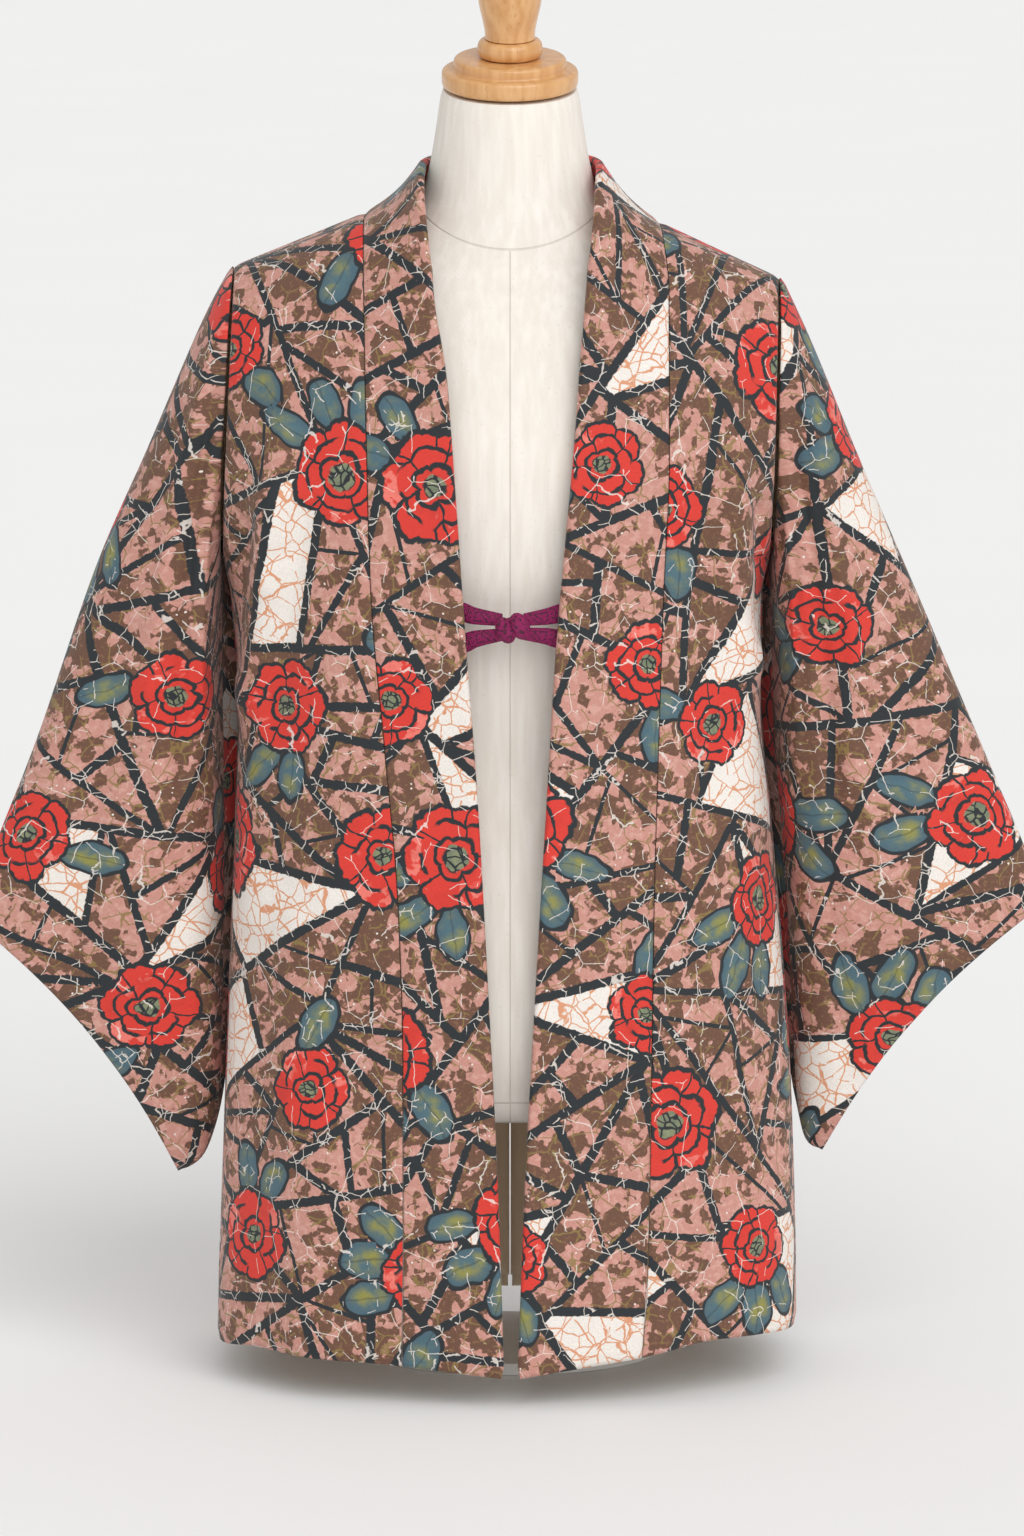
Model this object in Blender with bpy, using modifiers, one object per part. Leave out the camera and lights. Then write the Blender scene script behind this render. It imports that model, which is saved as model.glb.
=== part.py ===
"""A haori jacket worn by a limbless dress form, which stands on a plain base plate.

Metres, +Z up, the wearer's front faces -Y. "left" and "right" are the viewer's, so left is -X.
The origin is the middle of the base plate's underside.
"""
import math
from collections import namedtuple

import bpy
import bmesh
from mathutils import Vector

# Driving sizes, in metres
CLOTH_WALL = 0.0016
COLLAR_WALL = 0.0018
COLLAR_ROLL = 0.0030
LINING_WALL = 0.0010
SEAM_GAP = 0.0004
REST_GAP = 0.0003
UNDERARM_Z = 0.570
SLEEVE_BULGE = 0.85
CUFF_HOLLOW = 0.016
NECK_POINT_Z = 0.798
NAPE_Z = 0.840
NAPE_DROP_DEG = 42.0
ROUNDNESS = 2.25
SHOULDER_ROUNDNESS = 2.5
CAP_LEAN_DEG = 9.0
NECK_TOP_Z = 0.892
NECK_TOP_Y = -0.012
PLATE_THICK = 0.008
PLATE_HALF_WIDTH = 0.105
PLATE_HALF_DEPTH = 0.076
PLATE_MIDDLE_Y = 0.032
POST_RADIUS = 0.011
POST_X = 0.070
POST_Y = 0.010

LOWER_ROWS = 8
FRONT_UPPER_ROWS = 9
BACK_UPPER_ROWS = 4
NECKLINE_ROWS = 7
PANEL_COLUMNS = 9
SLEEVE_RINGS = 13
SLEEVE_SIDES = 20

# Half girth of the worn cloth from the hem up to the underarm
Girth = namedtuple("Girth", "z left right front back gusset")
GIRTHS = (
    Girth(0.030, 0.2035, 0.1990, 0.1360, 0.1300, 0.0340),
    Girth(0.120, 0.1995, 0.1965, 0.1345, 0.1290, 0.0310),
    Girth(0.210, 0.1960, 0.1930, 0.1325, 0.1270, 0.0270),
    Girth(0.300, 0.1925, 0.1865, 0.1305, 0.1240, 0.0230),
    Girth(0.390, 0.1885, 0.1785, 0.1285, 0.1200, 0.0190),
    Girth(0.470, 0.1860, 0.1715, 0.1265, 0.1150, 0.0150),
    Girth(0.540, 0.1910, 0.1725, 0.1245, 0.1120, 0.0120),
    Girth(0.570, 0.1965, 0.1780, 0.1235, 0.1100, 0.0105),
)

# Height of the front's hem, by the share of the way from the middle to the side
FrontHem = namedtuple("FrontHem", "share left right")
FRONT_HEM = (
    FrontHem(0.25, 0.0250, 0.0250),
    FrontHem(0.40, 0.0284, 0.0305),
    FrontHem(0.55, 0.0300, 0.0365),
    FrontHem(0.70, 0.0307, 0.0404),
    FrontHem(0.88, 0.0310, 0.0400),
    FrontHem(1.00, 0.0260, 0.0370),
)
BACK_HEM_Z = 0.022

# Distance of the collar's seam and of its inner edge from the middle of the front
CollarLine = namedtuple("CollarLine", "z left right")
COLLAR_SEAM = (
    CollarLine(0.030, 0.0745, 0.0905),
    CollarLine(0.110, 0.0733, 0.0950),
    CollarLine(0.240, 0.0733, 0.0970),
    CollarLine(0.350, 0.0765, 0.0985),
    CollarLine(0.450, 0.0850, 0.1012),
    CollarLine(0.560, 0.0945, 0.1046),
    CollarLine(0.650, 0.0971, 0.1080),
    CollarLine(0.760, 0.0995, 0.1080),
    CollarLine(0.798, 0.1003, 0.1035),
)
CollarEdge = namedtuple("CollarEdge", "z left right y")
COLLAR_EDGE = (
    CollarEdge(0.0210, 0.0042, 0.0055, -0.1400),
    CollarEdge(0.1600, 0.0088, 0.0109, -0.1370),
    CollarEdge(0.2850, 0.0149, 0.0176, -0.1335),
    CollarEdge(0.4200, 0.0223, 0.0256, -0.1295),
    CollarEdge(0.5300, 0.0305, 0.0325, -0.1260),
    CollarEdge(0.6580, 0.0391, 0.0437, -0.1190),
    CollarEdge(0.7110, 0.0437, 0.0475, -0.1120),
    CollarEdge(0.7520, 0.0512, 0.0515, -0.1040),
    CollarEdge(0.7810, 0.0545, 0.0545, -0.0930),
    CollarEdge(0.8050, 0.0575, 0.0575, -0.0790),
    CollarEdge(0.8220, 0.0597, 0.0592, -0.0640),
    CollarEdge(0.8340, 0.0605, 0.0605, -0.0430),
    CollarEdge(0.8390, 0.0600, 0.0612, -0.0200),
    CollarEdge(0.8407, 0.0597, 0.0612, 0.0000),
)

# Outer fold and inner fold of each sleeve, from the armhole to the cuff
SleevePoint = namedtuple("SleevePoint", "x z")
SLEEVE_FOLDS = {
    "left": (
        (SleevePoint(0.1905, 0.768), SleevePoint(0.2110, 0.729), SleevePoint(0.2480, 0.644),
         SleevePoint(0.2845, 0.561), SleevePoint(0.3247, 0.4455), SleevePoint(0.3530, 0.374),
         SleevePoint(0.3750, 0.3160)),
        (SleevePoint(0.1975, 0.5708), SleevePoint(0.2005, 0.515), SleevePoint(0.2005, 0.430),
         SleevePoint(0.2005, 0.330), SleevePoint(0.2025, 0.235), SleevePoint(0.2055, 0.180),
         SleevePoint(0.2130, 0.148), SleevePoint(0.2298, 0.134)),
    ),
    "right": (
        (SleevePoint(0.1860, 0.760), SleevePoint(0.2085, 0.711), SleevePoint(0.2420, 0.630),
         SleevePoint(0.2850, 0.531), SleevePoint(0.3290, 0.428), SleevePoint(0.3570, 0.362),
         SleevePoint(0.3690, 0.3250)),
        (SleevePoint(0.1790, 0.5708), SleevePoint(0.1815, 0.520), SleevePoint(0.1860, 0.430),
         SleevePoint(0.1940, 0.330), SleevePoint(0.1990, 0.235), SleevePoint(0.2010, 0.190),
         SleevePoint(0.2050, 0.160), SleevePoint(0.2160, 0.149)),
    ),
}
# Half depth of the sleeve and where its middle lies, by the share of its length
SleeveDepth = namedtuple("SleeveDepth", "share half_depth middle_y")
SLEEVE_DEPTHS = (
    SleeveDepth(0.00, 0.0560, 0.000),
    SleeveDepth(0.35, 0.0520, -0.004),
    SleeveDepth(0.70, 0.0400, -0.005),
    SleeveDepth(1.00, 0.0230, 0.000),
)

# Largest folds: a crest from one point of a panel to another, in (x, z)
Fold = namedtuple("Fold", "side face x0 z0 x1 z1 width height")
FOLDS = (
    Fold("left", "front", 0.160, 0.620, 0.181, 0.480, 0.016, 0.0075),
    Fold("left", "front", 0.176, 0.600, 0.186, 0.500, 0.010, -0.0060),
    Fold("left", "front", 0.125, 0.180, 0.140, 0.010, 0.030, 0.0035),
    Fold("left", "front", 0.168, 0.300, 0.172, 0.010, 0.024, -0.0040),
    Fold("left", "back", 0.150, 0.640, 0.165, 0.440, 0.020, 0.0065),
    Fold("left", "back", 0.090, 0.260, 0.100, 0.010, 0.030, 0.0040),
    Fold("right", "front", 0.150, 0.640, 0.160, 0.500, 0.014, 0.0060),
    Fold("right", "front", 0.170, 0.610, 0.169, 0.520, 0.008, -0.0050),
    Fold("right", "front", 0.140, 0.220, 0.150, 0.010, 0.026, -0.0035),
    Fold("right", "back", 0.148, 0.650, 0.160, 0.450, 0.018, 0.0060),
    Fold("right", "back", 0.070, 0.280, 0.085, 0.010, 0.030, -0.0035),
)

# Dress form: half width and depths to the front and to the back of its middle
FormRing = namedtuple("FormRing", "z half_width front back")
FORM_RINGS = (
    FormRing(0.1900, 0.1150, 0.0930, 0.0860),
    FormRing(0.1930, 0.1290, 0.1040, 0.0960),
    FormRing(0.2000, 0.1340, 0.1080, 0.1000),
    FormRing(0.2500, 0.1470, 0.1130, 0.1080),
    FormRing(0.3100, 0.1500, 0.1120, 0.1080),
    FormRing(0.3800, 0.1400, 0.1040, 0.1000),
    FormRing(0.4500, 0.1260, 0.0950, 0.0880),
    FormRing(0.5100, 0.1280, 0.0960, 0.0860),
    FormRing(0.5800, 0.1420, 0.1060, 0.0940),
    FormRing(0.6400, 0.1530, 0.1100, 0.0970),
    FormRing(0.6900, 0.1610, 0.1030, 0.0930),
    FormRing(0.7250, 0.1660, 0.0950, 0.0850),
    FormRing(0.7480, 0.1620, 0.0870, 0.0740),
    FormRing(0.7620, 0.1490, 0.0800, 0.0650),
    FormRing(0.7730, 0.1280, 0.0740, 0.0580),
    FormRing(0.7820, 0.1080, 0.0700, 0.0550),
    FormRing(0.7900, 0.0900, 0.0680, 0.0540),
    FormRing(0.7980, 0.0760, 0.0660, 0.0535),
    FormRing(0.8070, 0.0670, 0.0640, 0.0530),
    FormRing(0.8200, 0.0595, 0.0600, 0.0510),
    FormRing(0.8400, 0.0542, 0.0560, 0.0480),
    FormRing(0.8650, 0.0500, 0.0530, 0.0440),
    FormRing(0.8860, 0.0468, 0.0500, 0.0400),
    FormRing(0.8905, 0.0452, 0.0485, 0.0385),
)

# Turned wood: radius and height above the piece's own foot, down its outer side
Turned = namedtuple("Turned", "radius z")
CAP_PROFILE = (Turned(0.0, 0.0200), Turned(0.0365, 0.0200), Turned(0.0380, 0.0188), Turned(0.0384, 0.0165),
               Turned(0.0384, 0.0135), Turned(0.0392, 0.0124), Turned(0.0440, 0.0122), Turned(0.0458, 0.0112),
               Turned(0.0464, 0.0092), Turned(0.0464, 0.0030), Turned(0.0456, 0.0008), Turned(0.0440, 0.0),
               Turned(0.0, 0.0))
BEAD_PROFILE = (Turned(0.0, 0.0125), Turned(0.0180, 0.0125), Turned(0.0200, 0.0118), Turned(0.0216, 0.0098),
                Turned(0.0222, 0.0068), Turned(0.0220, 0.0036), Turned(0.0208, 0.0010), Turned(0.0190, 0.0),
                Turned(0.0, 0.0))
KNOB_PROFILE = (Turned(0.0, 0.0620), Turned(0.0080, 0.0608), Turned(0.0150, 0.0568), Turned(0.0200, 0.0498),
                Turned(0.0224, 0.0405), Turned(0.0222, 0.0310), Turned(0.0206, 0.0215), Turned(0.0186, 0.013),
                Turned(0.0172, 0.0060), Turned(0.0170, 0.0020), Turned(0.0172, 0.0), Turned(0.0, 0.0))

# Tie braids: heights of each at the collar's edge and at the knot
Braid = namedtuple("Braid", "name side z_edge z_knot")
BRAIDS = (
    Braid("himo_left_upper", "left", 0.5480, 0.5432),
    Braid("himo_left_lower", "left", 0.5270, 0.5332),
    Braid("himo_right_upper", "right", 0.5470, 0.5434),
    Braid("himo_right_lower", "right", 0.5300, 0.5338),
)
BRAID_WIDTH = 0.0130
BRAID_NARROWING = 0.35
BRAID_WALL = 0.0024
KNOT_SIZE = (0.0230, 0.0150, 0.0200)
KNOT_MIDDLE = (0.0020, -0.1285, 0.5380)

SIGN = {"left": -1.0, "right": 1.0}


def clear_scene():
    for item in list(bpy.data.objects):
        bpy.data.objects.remove(item, do_unlink=True)
    parts = bpy.data.collections.new("haori_on_dress_form")
    bpy.context.scene.collection.children.link(parts)
    return parts


def material(name, color, roughness, metallic=0.0):
    made = bpy.data.materials.new(name)
    made.use_nodes = True
    shader = made.node_tree.nodes["Principled BSDF"]
    shader.inputs["Base Color"].default_value = (*color, 1.0)
    shader.inputs["Roughness"].default_value = roughness
    shader.inputs["Metallic"].default_value = metallic
    return made


def between(table, key, value, column):
    """The value of a table's column at a height or share, smoothed between its rows."""
    rows = list(table)
    if value <= getattr(rows[0], key):
        return getattr(rows[0], column)
    for low, high in zip(rows, rows[1:]):
        start, end = getattr(low, key), getattr(high, key)
        if value <= end:
            t = (value - start) / (end - start)
            return getattr(low, column) * (1.0 - t) + getattr(high, column) * t
    return getattr(rows[-1], column)


def power_sin(angle, exponent):
    return max(math.sin(angle), 0.0) ** (2.0 / exponent)


def power_cos(angle, exponent):
    return max(math.cos(angle), 0.0) ** (2.0 / exponent)


def resample(points, shares):
    """Points along a polyline at the given shares of its length."""
    lengths = [0.0]
    for a, b in zip(points, points[1:]):
        lengths.append(lengths[-1] + (b - a).length)
    found = []
    for share in shares:
        target = share * lengths[-1]
        i = 0
        while i < len(points) - 2 and lengths[i + 1] < target:
            i += 1
        span = lengths[i + 1] - lengths[i]
        found.append(points[i].lerp(points[i + 1], (target - lengths[i]) / span))
    return found


def smooth_curve(points, per_span=8):
    """A Catmull-Rom curve through the points, as a dense polyline."""
    ends = [points[0] * 2 - points[1]] + list(points) + [points[-1] * 2 - points[-2]]
    dense = []
    for p0, p1, p2, p3 in zip(ends, ends[1:], ends[2:], ends[3:]):
        for step in range(per_span):
            t = step / per_span
            dense.append(0.5 * (2 * p1 + (p2 - p0) * t + (2 * p0 - 5 * p1 + 4 * p2 - p3) * t * t
                                + (3 * p1 - p0 - 3 * p2 + p3) * t ** 3))
    dense.append(points[-1].copy())
    return dense


def add_sheet(parts, name, grid, wall, mat, ring=False):
    """A cloth wall from a grid of points on its outer face; its rows run so that normals point out."""
    verts = [point for row in grid for point in row]
    count = len(grid[0])
    faces = []
    for i in range(len(grid) - 1):
        for j in range(count if ring else count - 1):
            k = (j + 1) % count
            faces.append((i * count + j, i * count + k, (i + 1) * count + k, (i + 1) * count + j))
    mesh = bpy.data.meshes.new(name)
    mesh.from_pydata(verts, [], faces)
    mesh.materials.append(mat)
    mesh.shade_smooth()
    sheet = bpy.data.objects.new(name, mesh)
    parts.objects.link(sheet)
    solid = sheet.modifiers.new("wall", "SOLIDIFY")
    solid.thickness = wall
    solid.offset = -1.0
    solid.use_quality_normals = True
    return sheet


def fold_offset(side, face, x, z):
    """How far the largest folds lift the cloth off its plain form."""
    total = 0.0
    for fold in FOLDS:
        if (fold.side, fold.face) != (side, face):
            continue
        start = Vector((fold.x0, fold.z0))
        run = Vector((fold.x1, fold.z1)) - start
        along = (Vector((abs(x), z)) - start).dot(run) / run.length_squared
        nearest = start + run * min(max(along, 0.0), 1.0)
        away = (Vector((abs(x), z)) - nearest).length
        ends = max(0.0, 1.0 - max(0.0, -along, along - 1.0) * 3.0)
        total += fold.height * ends * math.exp(-(away / fold.width) ** 2)
    return total


def armhole_point(side, angle):
    """A point of the armhole ring; angle 0 is the underarm, pi the shoulder, the front is positive."""
    outer, inner = SLEEVE_FOLDS[side]
    half = 0.5 * (outer[0].z - UNDERARM_Z)
    up = 0.5 * (1.0 - math.cos(angle))
    x = inner[0].x - 0.0010 + (outer[0].x - inner[0].x - 0.0012) * up
    depth = SLEEVE_DEPTHS[0].half_depth * math.copysign(abs(math.sin(angle)) ** SLEEVE_BULGE, math.sin(angle))
    gusset = GIRTHS[-1].gusset * max(0.0, math.cos(angle * 0.5)) ** 2
    y = -math.copysign(max(abs(depth), gusset), angle)
    return Vector((SIGN[side] * x, y, UNDERARM_Z + 2.0 * half * up))


def hem_height(side, x, face):
    """Height of the hem, by the share of the way from the middle to the side."""
    share = min(abs(x) / between(GIRTHS, "z", GIRTHS[0].z, side), 1.0)
    if face == "front":
        return between(FRONT_HEM, "share", share, side)
    return BACK_HEM_Z + (between(FRONT_HEM, "share", 1.0, side) - BACK_HEM_Z) * share ** 4


def panel_point(side, face, across, up):
    """A point of the worn cloth.

    across is the angle from the middle (0) to the side (pi/2). up is -1 at the hem, 0 at the underarm
    and pi/2 on the shoulder line.
    """
    front = face == "front"
    s_x = power_sin(across, ROUNDNESS)
    s_y = power_cos(across, ROUNDNESS)
    if up <= 0.0:
        share = 1.0 + up
        z_side = GIRTHS[0].z + (UNDERARM_Z - GIRTHS[0].z) * share
        reach = between(GIRTHS, "z", z_side, side)
        depth = between(GIRTHS, "z", z_side, face)
        gusset = between(GIRTHS, "z", z_side, "gusset") + 0.5 * SEAM_GAP
        x = reach * s_x
        y = gusset + (depth - gusset) * s_y
        low = hem_height(side, x, face)
        z = low + (UNDERARM_Z - low) * share
    else:
        edge = armhole_point(side, 2.0 * up if front else -2.0 * up)
        ridge = NAPE_Z
        z_middle = UNDERARM_Z + (ridge - UNDERARM_Z) * power_sin(up, SHOULDER_ROUNDNESS)
        depth = getattr(GIRTHS[-1], face) * power_cos(up, SHOULDER_ROUNDNESS)
        x = abs(edge.x) * s_x
        y = abs(edge.y) + max(depth - abs(edge.y), 0.0) * s_y
        z = z_middle + (edge.z - z_middle) * (x / abs(edge.x)) ** (1.0 + math.cos(up))
    x_seam = between(COLLAR_SEAM, "z", z, side) if front else 0.0
    fade = min(max((x - x_seam) / 0.03, 0.0), 1.0) * min(max((math.pi / 2 - across) / 0.60, 0.0), 1.0)
    lift = fold_offset(side, face, x, z) * fade
    out = Vector((s_x * 0.6, s_y + 0.2, 0.0)).normalized()
    sign_y = -1.0 if front else 1.0
    return Vector((SIGN[side] * (x + out.x * lift), sign_y * (y + out.y * lift), z))


def across_at(side, face, up, x_wanted):
    """The angle across a row at which the panel reaches a distance from the middle."""
    low, high = 0.0, math.pi / 2
    for _ in range(40):
        middle = 0.5 * (low + high)
        if abs(panel_point(side, face, middle, up).x) < x_wanted:
            low = middle
        else:
            high = middle
    return 0.5 * (low + high)


def even_row(side, face, inner, outer):
    """Points of a panel at even spacing between two (across, up) ends."""
    dense = []
    for step in range(61):
        t = step / 60
        dense.append(panel_point(side, face, inner[0] + (outer[0] - inner[0]) * t,
                                 inner[1] + (outer[1] - inner[1]) * t))
    return resample(dense, [k / PANEL_COLUMNS for k in range(PANEL_COLUMNS + 1)])


def seam_x(side, z):
    return between(COLLAR_SEAM, "z", z, side)


def front_rows(side):
    """Rows of the front from the hem up to the shoulder line, each from the collar's seam outward."""
    ups = [-1.0 + k / LOWER_ROWS for k in range(LOWER_ROWS)]
    ups += [math.pi / 2 * k / FRONT_UPPER_ROWS for k in range(FRONT_UPPER_ROWS + 1)]
    rows = []
    for up in ups:
        guess = panel_point(side, "front", 0.6, up)
        start = across_at(side, "front", up, seam_x(side, min(guess.z, NECK_POINT_Z)))
        rows.append(even_row(side, "front", (start, up), (math.pi / 2, up)))
    return rows


def neckline(side, share):
    """The (across, up) of the back neckline, from the nape (0) to the shoulder line (1)."""
    at_shoulder = across_at(side, "back", math.pi / 2, seam_x(side, NECK_POINT_Z))
    turn = math.pi / 2 * share
    drop = math.radians(NAPE_DROP_DEG)
    return at_shoulder * math.sin(turn), math.pi / 2 - drop * math.cos(turn)


def back_rows(side):
    """Rows of the back from the hem up to the shoulder line, each from the centre seam outward."""
    nape = neckline(side, 0.0)[1]
    ups = [-1.0 + k / LOWER_ROWS for k in range(LOWER_ROWS)]
    ups += [nape * k / BACK_UPPER_ROWS for k in range(BACK_UPPER_ROWS)]
    middle = 0.004
    rows = [even_row(side, "back", (middle, up), (math.pi / 2, up)) for up in ups]
    for k in range(NECKLINE_ROWS):
        share = k / NECKLINE_ROWS
        across, up = neckline(side, share)
        outer_up = nape + (math.pi / 2 - nape) * share
        rows.append(even_row(side, "back", (max(across, middle), up), (math.pi / 2, outer_up)))
    for row in rows:
        for point in row:
            if abs(point.x) < SEAM_GAP:
                point.x = SIGN[side] * SEAM_GAP
    return rows


def body_panel(parts, side, mat):
    """One length of cloth from the back hem over the shoulder to the front hem."""
    grid = back_rows(side) + list(reversed(front_rows(side)))
    if side == "right":
        grid = [list(reversed(row)) for row in grid]
    return add_sheet(parts, "body_" + side, grid, CLOTH_WALL, mat)


def gusset(parts, side, mat):
    """The narrow side piece between the front and the back, up to the underarm."""
    grid = []
    for k in range(LOWER_ROWS + 1):
        up = -1.0 + k / LOWER_ROWS
        if k == LOWER_ROWS:
            up = -0.001
        front = panel_point(side, "front", math.pi / 2, up)
        back = panel_point(side, "back", math.pi / 2, up)
        inset = Vector((0.0, SEAM_GAP, 0.0))
        row = [(front + inset).lerp(back - inset, t / 3) for t in range(4)]
        grid.append(row)
    if side == "right":
        grid = [list(reversed(row)) for row in grid]
    grid = [list(reversed(row)) for row in grid]
    return add_sheet(parts, "gusset_" + side, grid, CLOTH_WALL, mat)


def sleeve_ring(side, outer, inner, half_depth, middle_y, pull):
    """A closed ring of the sleeve between its outer fold and its inner fold.

    pull draws the middle of the ring up the sleeve, which hollows the cuff's edge.
    """
    upward = Vector((inner.z - outer.z, 0.0, outer.x - inner.x)).normalized() * pull
    ring = []
    for k in range(SLEEVE_SIDES):
        angle = 2.0 * math.pi * k / SLEEVE_SIDES
        up = 0.5 * (1.0 - math.cos(angle))
        at = inner.lerp(outer, up) + upward * math.sin(angle) ** 2
        y = -half_depth * math.copysign(abs(math.sin(angle)) ** SLEEVE_BULGE, math.sin(angle))
        ring.append(Vector((SIGN[side] * at.x, middle_y + y, at.z)))
    return ring


def sleeve(parts, side, mat):
    folds = []
    for line in SLEEVE_FOLDS[side]:
        dense = smooth_curve([Vector((p.x, 0.0, p.z)) for p in line])
        folds.append(resample(dense, [k / SLEEVE_RINGS for k in range(SLEEVE_RINGS + 1)]))
    grid = []
    for k, (outer, inner) in enumerate(zip(*folds)):
        share = k / SLEEVE_RINGS
        half_depth = between(SLEEVE_DEPTHS, "share", share, "half_depth")
        middle_y = between(SLEEVE_DEPTHS, "share", share, "middle_y")
        pull = CUFF_HOLLOW * max(0.0, (share - 0.6) / 0.4) ** 2
        grid.append(sleeve_ring(side, outer, inner, half_depth, middle_y, pull))
    if side == "right":
        grid = [list(reversed(row)) for row in grid]
    return add_sheet(parts, "sleeve_" + side, grid, CLOTH_WALL, mat, ring=True)


def collar_stations(side):
    """Stations from the front hem to the centre back: seam point, inner edge, share turned inside."""
    sign = SIGN[side]
    seam = [row[0].copy() for row in front_rows(side)]
    low = len([p for p in seam if p.z <= UNDERARM_Z + 1e-6])
    lower_shares = [k / (low - 1) for k in range(low)]
    edge_line = smooth_curve([Vector((sign * getattr(e, side), e.y, e.z)) for e in COLLAR_EDGE])
    split = min(range(len(edge_line)), key=lambda i: abs(edge_line[i].z - UNDERARM_Z - 0.006))
    edge = resample(edge_line[:split + 1], lower_shares)
    upper = seam[low - 1:]
    lengths = [0.0]
    for a, b in zip(upper, upper[1:]):
        lengths.append(lengths[-1] + (b - a).length)
    edge += resample(edge_line[split:], [v / lengths[-1] for v in lengths])[1:]
    stations = []
    for a, b in zip(seam, edge):
        turned = min(max((b.z - 0.770) / 0.068, 0.0), 1.0)
        stations.append((a, b, turned))
    peak = getattr(COLLAR_EDGE[-1], side)
    for k in range(1, NECKLINE_ROWS + 1):
        share = k / NECKLINE_ROWS
        across, up = neckline(side, 1.0 - share)
        a = panel_point(side, "back", max(across, 0.004), up)
        turn = math.pi / 2 * share
        b = Vector((sign * peak * math.cos(turn), 0.066 * math.sin(turn), 0.8407 + 0.0045 * share))
        if k == NECKLINE_ROWS:
            a.x = sign * SEAM_GAP
            b.x = sign * SEAM_GAP
        stations.append((a, b, 1.0))
    return stations


def collar_profile(seam_point, edge, turned, onward):
    """Points across the collar band, from the seam over the rolled inner edge to the leaf turned inside."""
    run = edge - seam_point
    start = seam_point + run.normalized() * 0.0008
    run = edge - start
    along = run.normalized()
    inward = onward.cross(along).normalized()
    if inward.dot(Vector((-edge.x, 0.010 - edge.y, -0.02))) < 0.0:
        inward.negate()
    base = edge - along * COLLAR_ROLL
    reach = base - start
    hollow = inward * (0.0035 * turned)
    points = [start + reach * t + hollow * math.sin(math.pi * t) for t in (0.0, 0.25, 0.5, 0.75, 1.0)]
    turn = math.radians(95.0 + 75.0 * turned)
    for k in (1, 2, 3):
        bend = turn * k / 3
        rise = along * math.sin(bend) + inward * (1.0 - math.cos(bend))
        points.append(base + rise * COLLAR_ROLL)
    leaf = along * math.cos(turn) + inward * math.sin(turn)
    length = 0.0015 + 0.0240 * turned
    points.append(points[-1] + leaf * (0.5 * length))
    points.append(points[-2] + leaf * length)
    return points


def collar(parts, side, mat):
    stations = collar_stations(side)
    grid = []
    for k, (seam_point, edge, turned) in enumerate(stations):
        before = stations[max(k - 1, 0)]
        after = stations[min(k + 1, len(stations) - 1)]
        onward = after[0] - before[0] + after[1] - before[1]
        if k == len(stations) - 1:
            onward = Vector((-SIGN[side], 0.0, 0.0))
        grid.append(collar_profile(seam_point, edge, turned, onward))
    for point in grid[-1]:
        point.x = SIGN[side] * SEAM_GAP
    if side == "right":
        grid = [list(reversed(row)) for row in grid]
    return add_sheet(parts, "collar_" + side, grid, COLLAR_WALL, mat)


def lining(parts, side, mat):
    """Back lining, inside the lower back, from just above the hem to under the form."""
    grid = []
    for k in range(7):
        up = -0.985 + 0.58 * k / 6
        row = []
        for step in range(7):
            across = 0.004 + (math.pi / 2 - 0.45) * step / 6
            point = panel_point(side, "back", across, up)
            inward = Vector((point.x / 0.19 ** 2, point.y / 0.13 ** 2, 0.0)).normalized()
            point -= inward * (CLOTH_WALL + 0.0012)
            if step == 0:
                point.x = SIGN[side] * SEAM_GAP
            row.append(point)
        grid.append(row)
    if side == "right":
        grid = [list(reversed(row)) for row in grid]
    return add_sheet(parts, "lining_" + side, grid, LINING_WALL, mat)


def dress_form(parts, mat):
    """Torso and neck in one smooth closed shell; the neck's top leans forward."""
    sides = 28
    mesh = bmesh.new()
    rings = []
    for ring in FORM_RINGS:
        lean = min(max((ring.z - 0.800) / (NECK_TOP_Z - 0.800), 0.0), 1.0)
        middle_y = NECK_TOP_Y * lean * 0.6
        verts = []
        for k in range(sides):
            angle = 2.0 * math.pi * k / sides
            c, s = math.cos(angle), math.sin(angle)
            depth = ring.back if s > 0 else ring.front
            x = ring.half_width * math.copysign(abs(c) ** (2 / 2.15), c)
            y = middle_y + depth * math.copysign(abs(s) ** (2 / 2.15), s)
            tilt = (y - middle_y) * math.tan(math.radians(CAP_LEAN_DEG)) * lean
            verts.append(mesh.verts.new((x, y, ring.z + tilt)))
        rings.append(verts)
    for low, high in zip(rings, rings[1:]):
        for k in range(sides):
            n = (k + 1) % sides
            mesh.faces.new((low[k], low[n], high[n], high[k]))
    mesh.faces.new(list(reversed(rings[0])))
    mesh.faces.new(rings[-1])
    data = bpy.data.meshes.new("form_torso")
    mesh.to_mesh(data)
    mesh.free()
    data.materials.append(mat)
    data.shade_smooth()
    data.set_sharp_from_angle(angle=math.radians(40))
    torso = bpy.data.objects.new("form_torso", data)
    parts.objects.link(torso)
    return torso


def turned_piece(parts, name, profile, mat, parent, foot):
    """A turned wooden piece: its profile spun by a Screw about the neck's own axis."""
    data = bpy.data.meshes.new(name)
    verts = [(p.radius, 0.0, p.z) for p in profile]
    data.from_pydata(verts, [(i, i + 1) for i in range(len(verts) - 1)], [])
    data.materials.append(mat)
    piece = bpy.data.objects.new(name, data)
    parts.objects.link(piece)
    piece.parent = parent
    piece.location.z = foot
    spin = piece.modifiers.new("turn", "SCREW")
    spin.steps = 40
    spin.render_steps = 40
    spin.use_merge_vertices = True
    spin.merge_threshold = 0.00001
    spin.use_smooth_shade = True
    return piece


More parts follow.
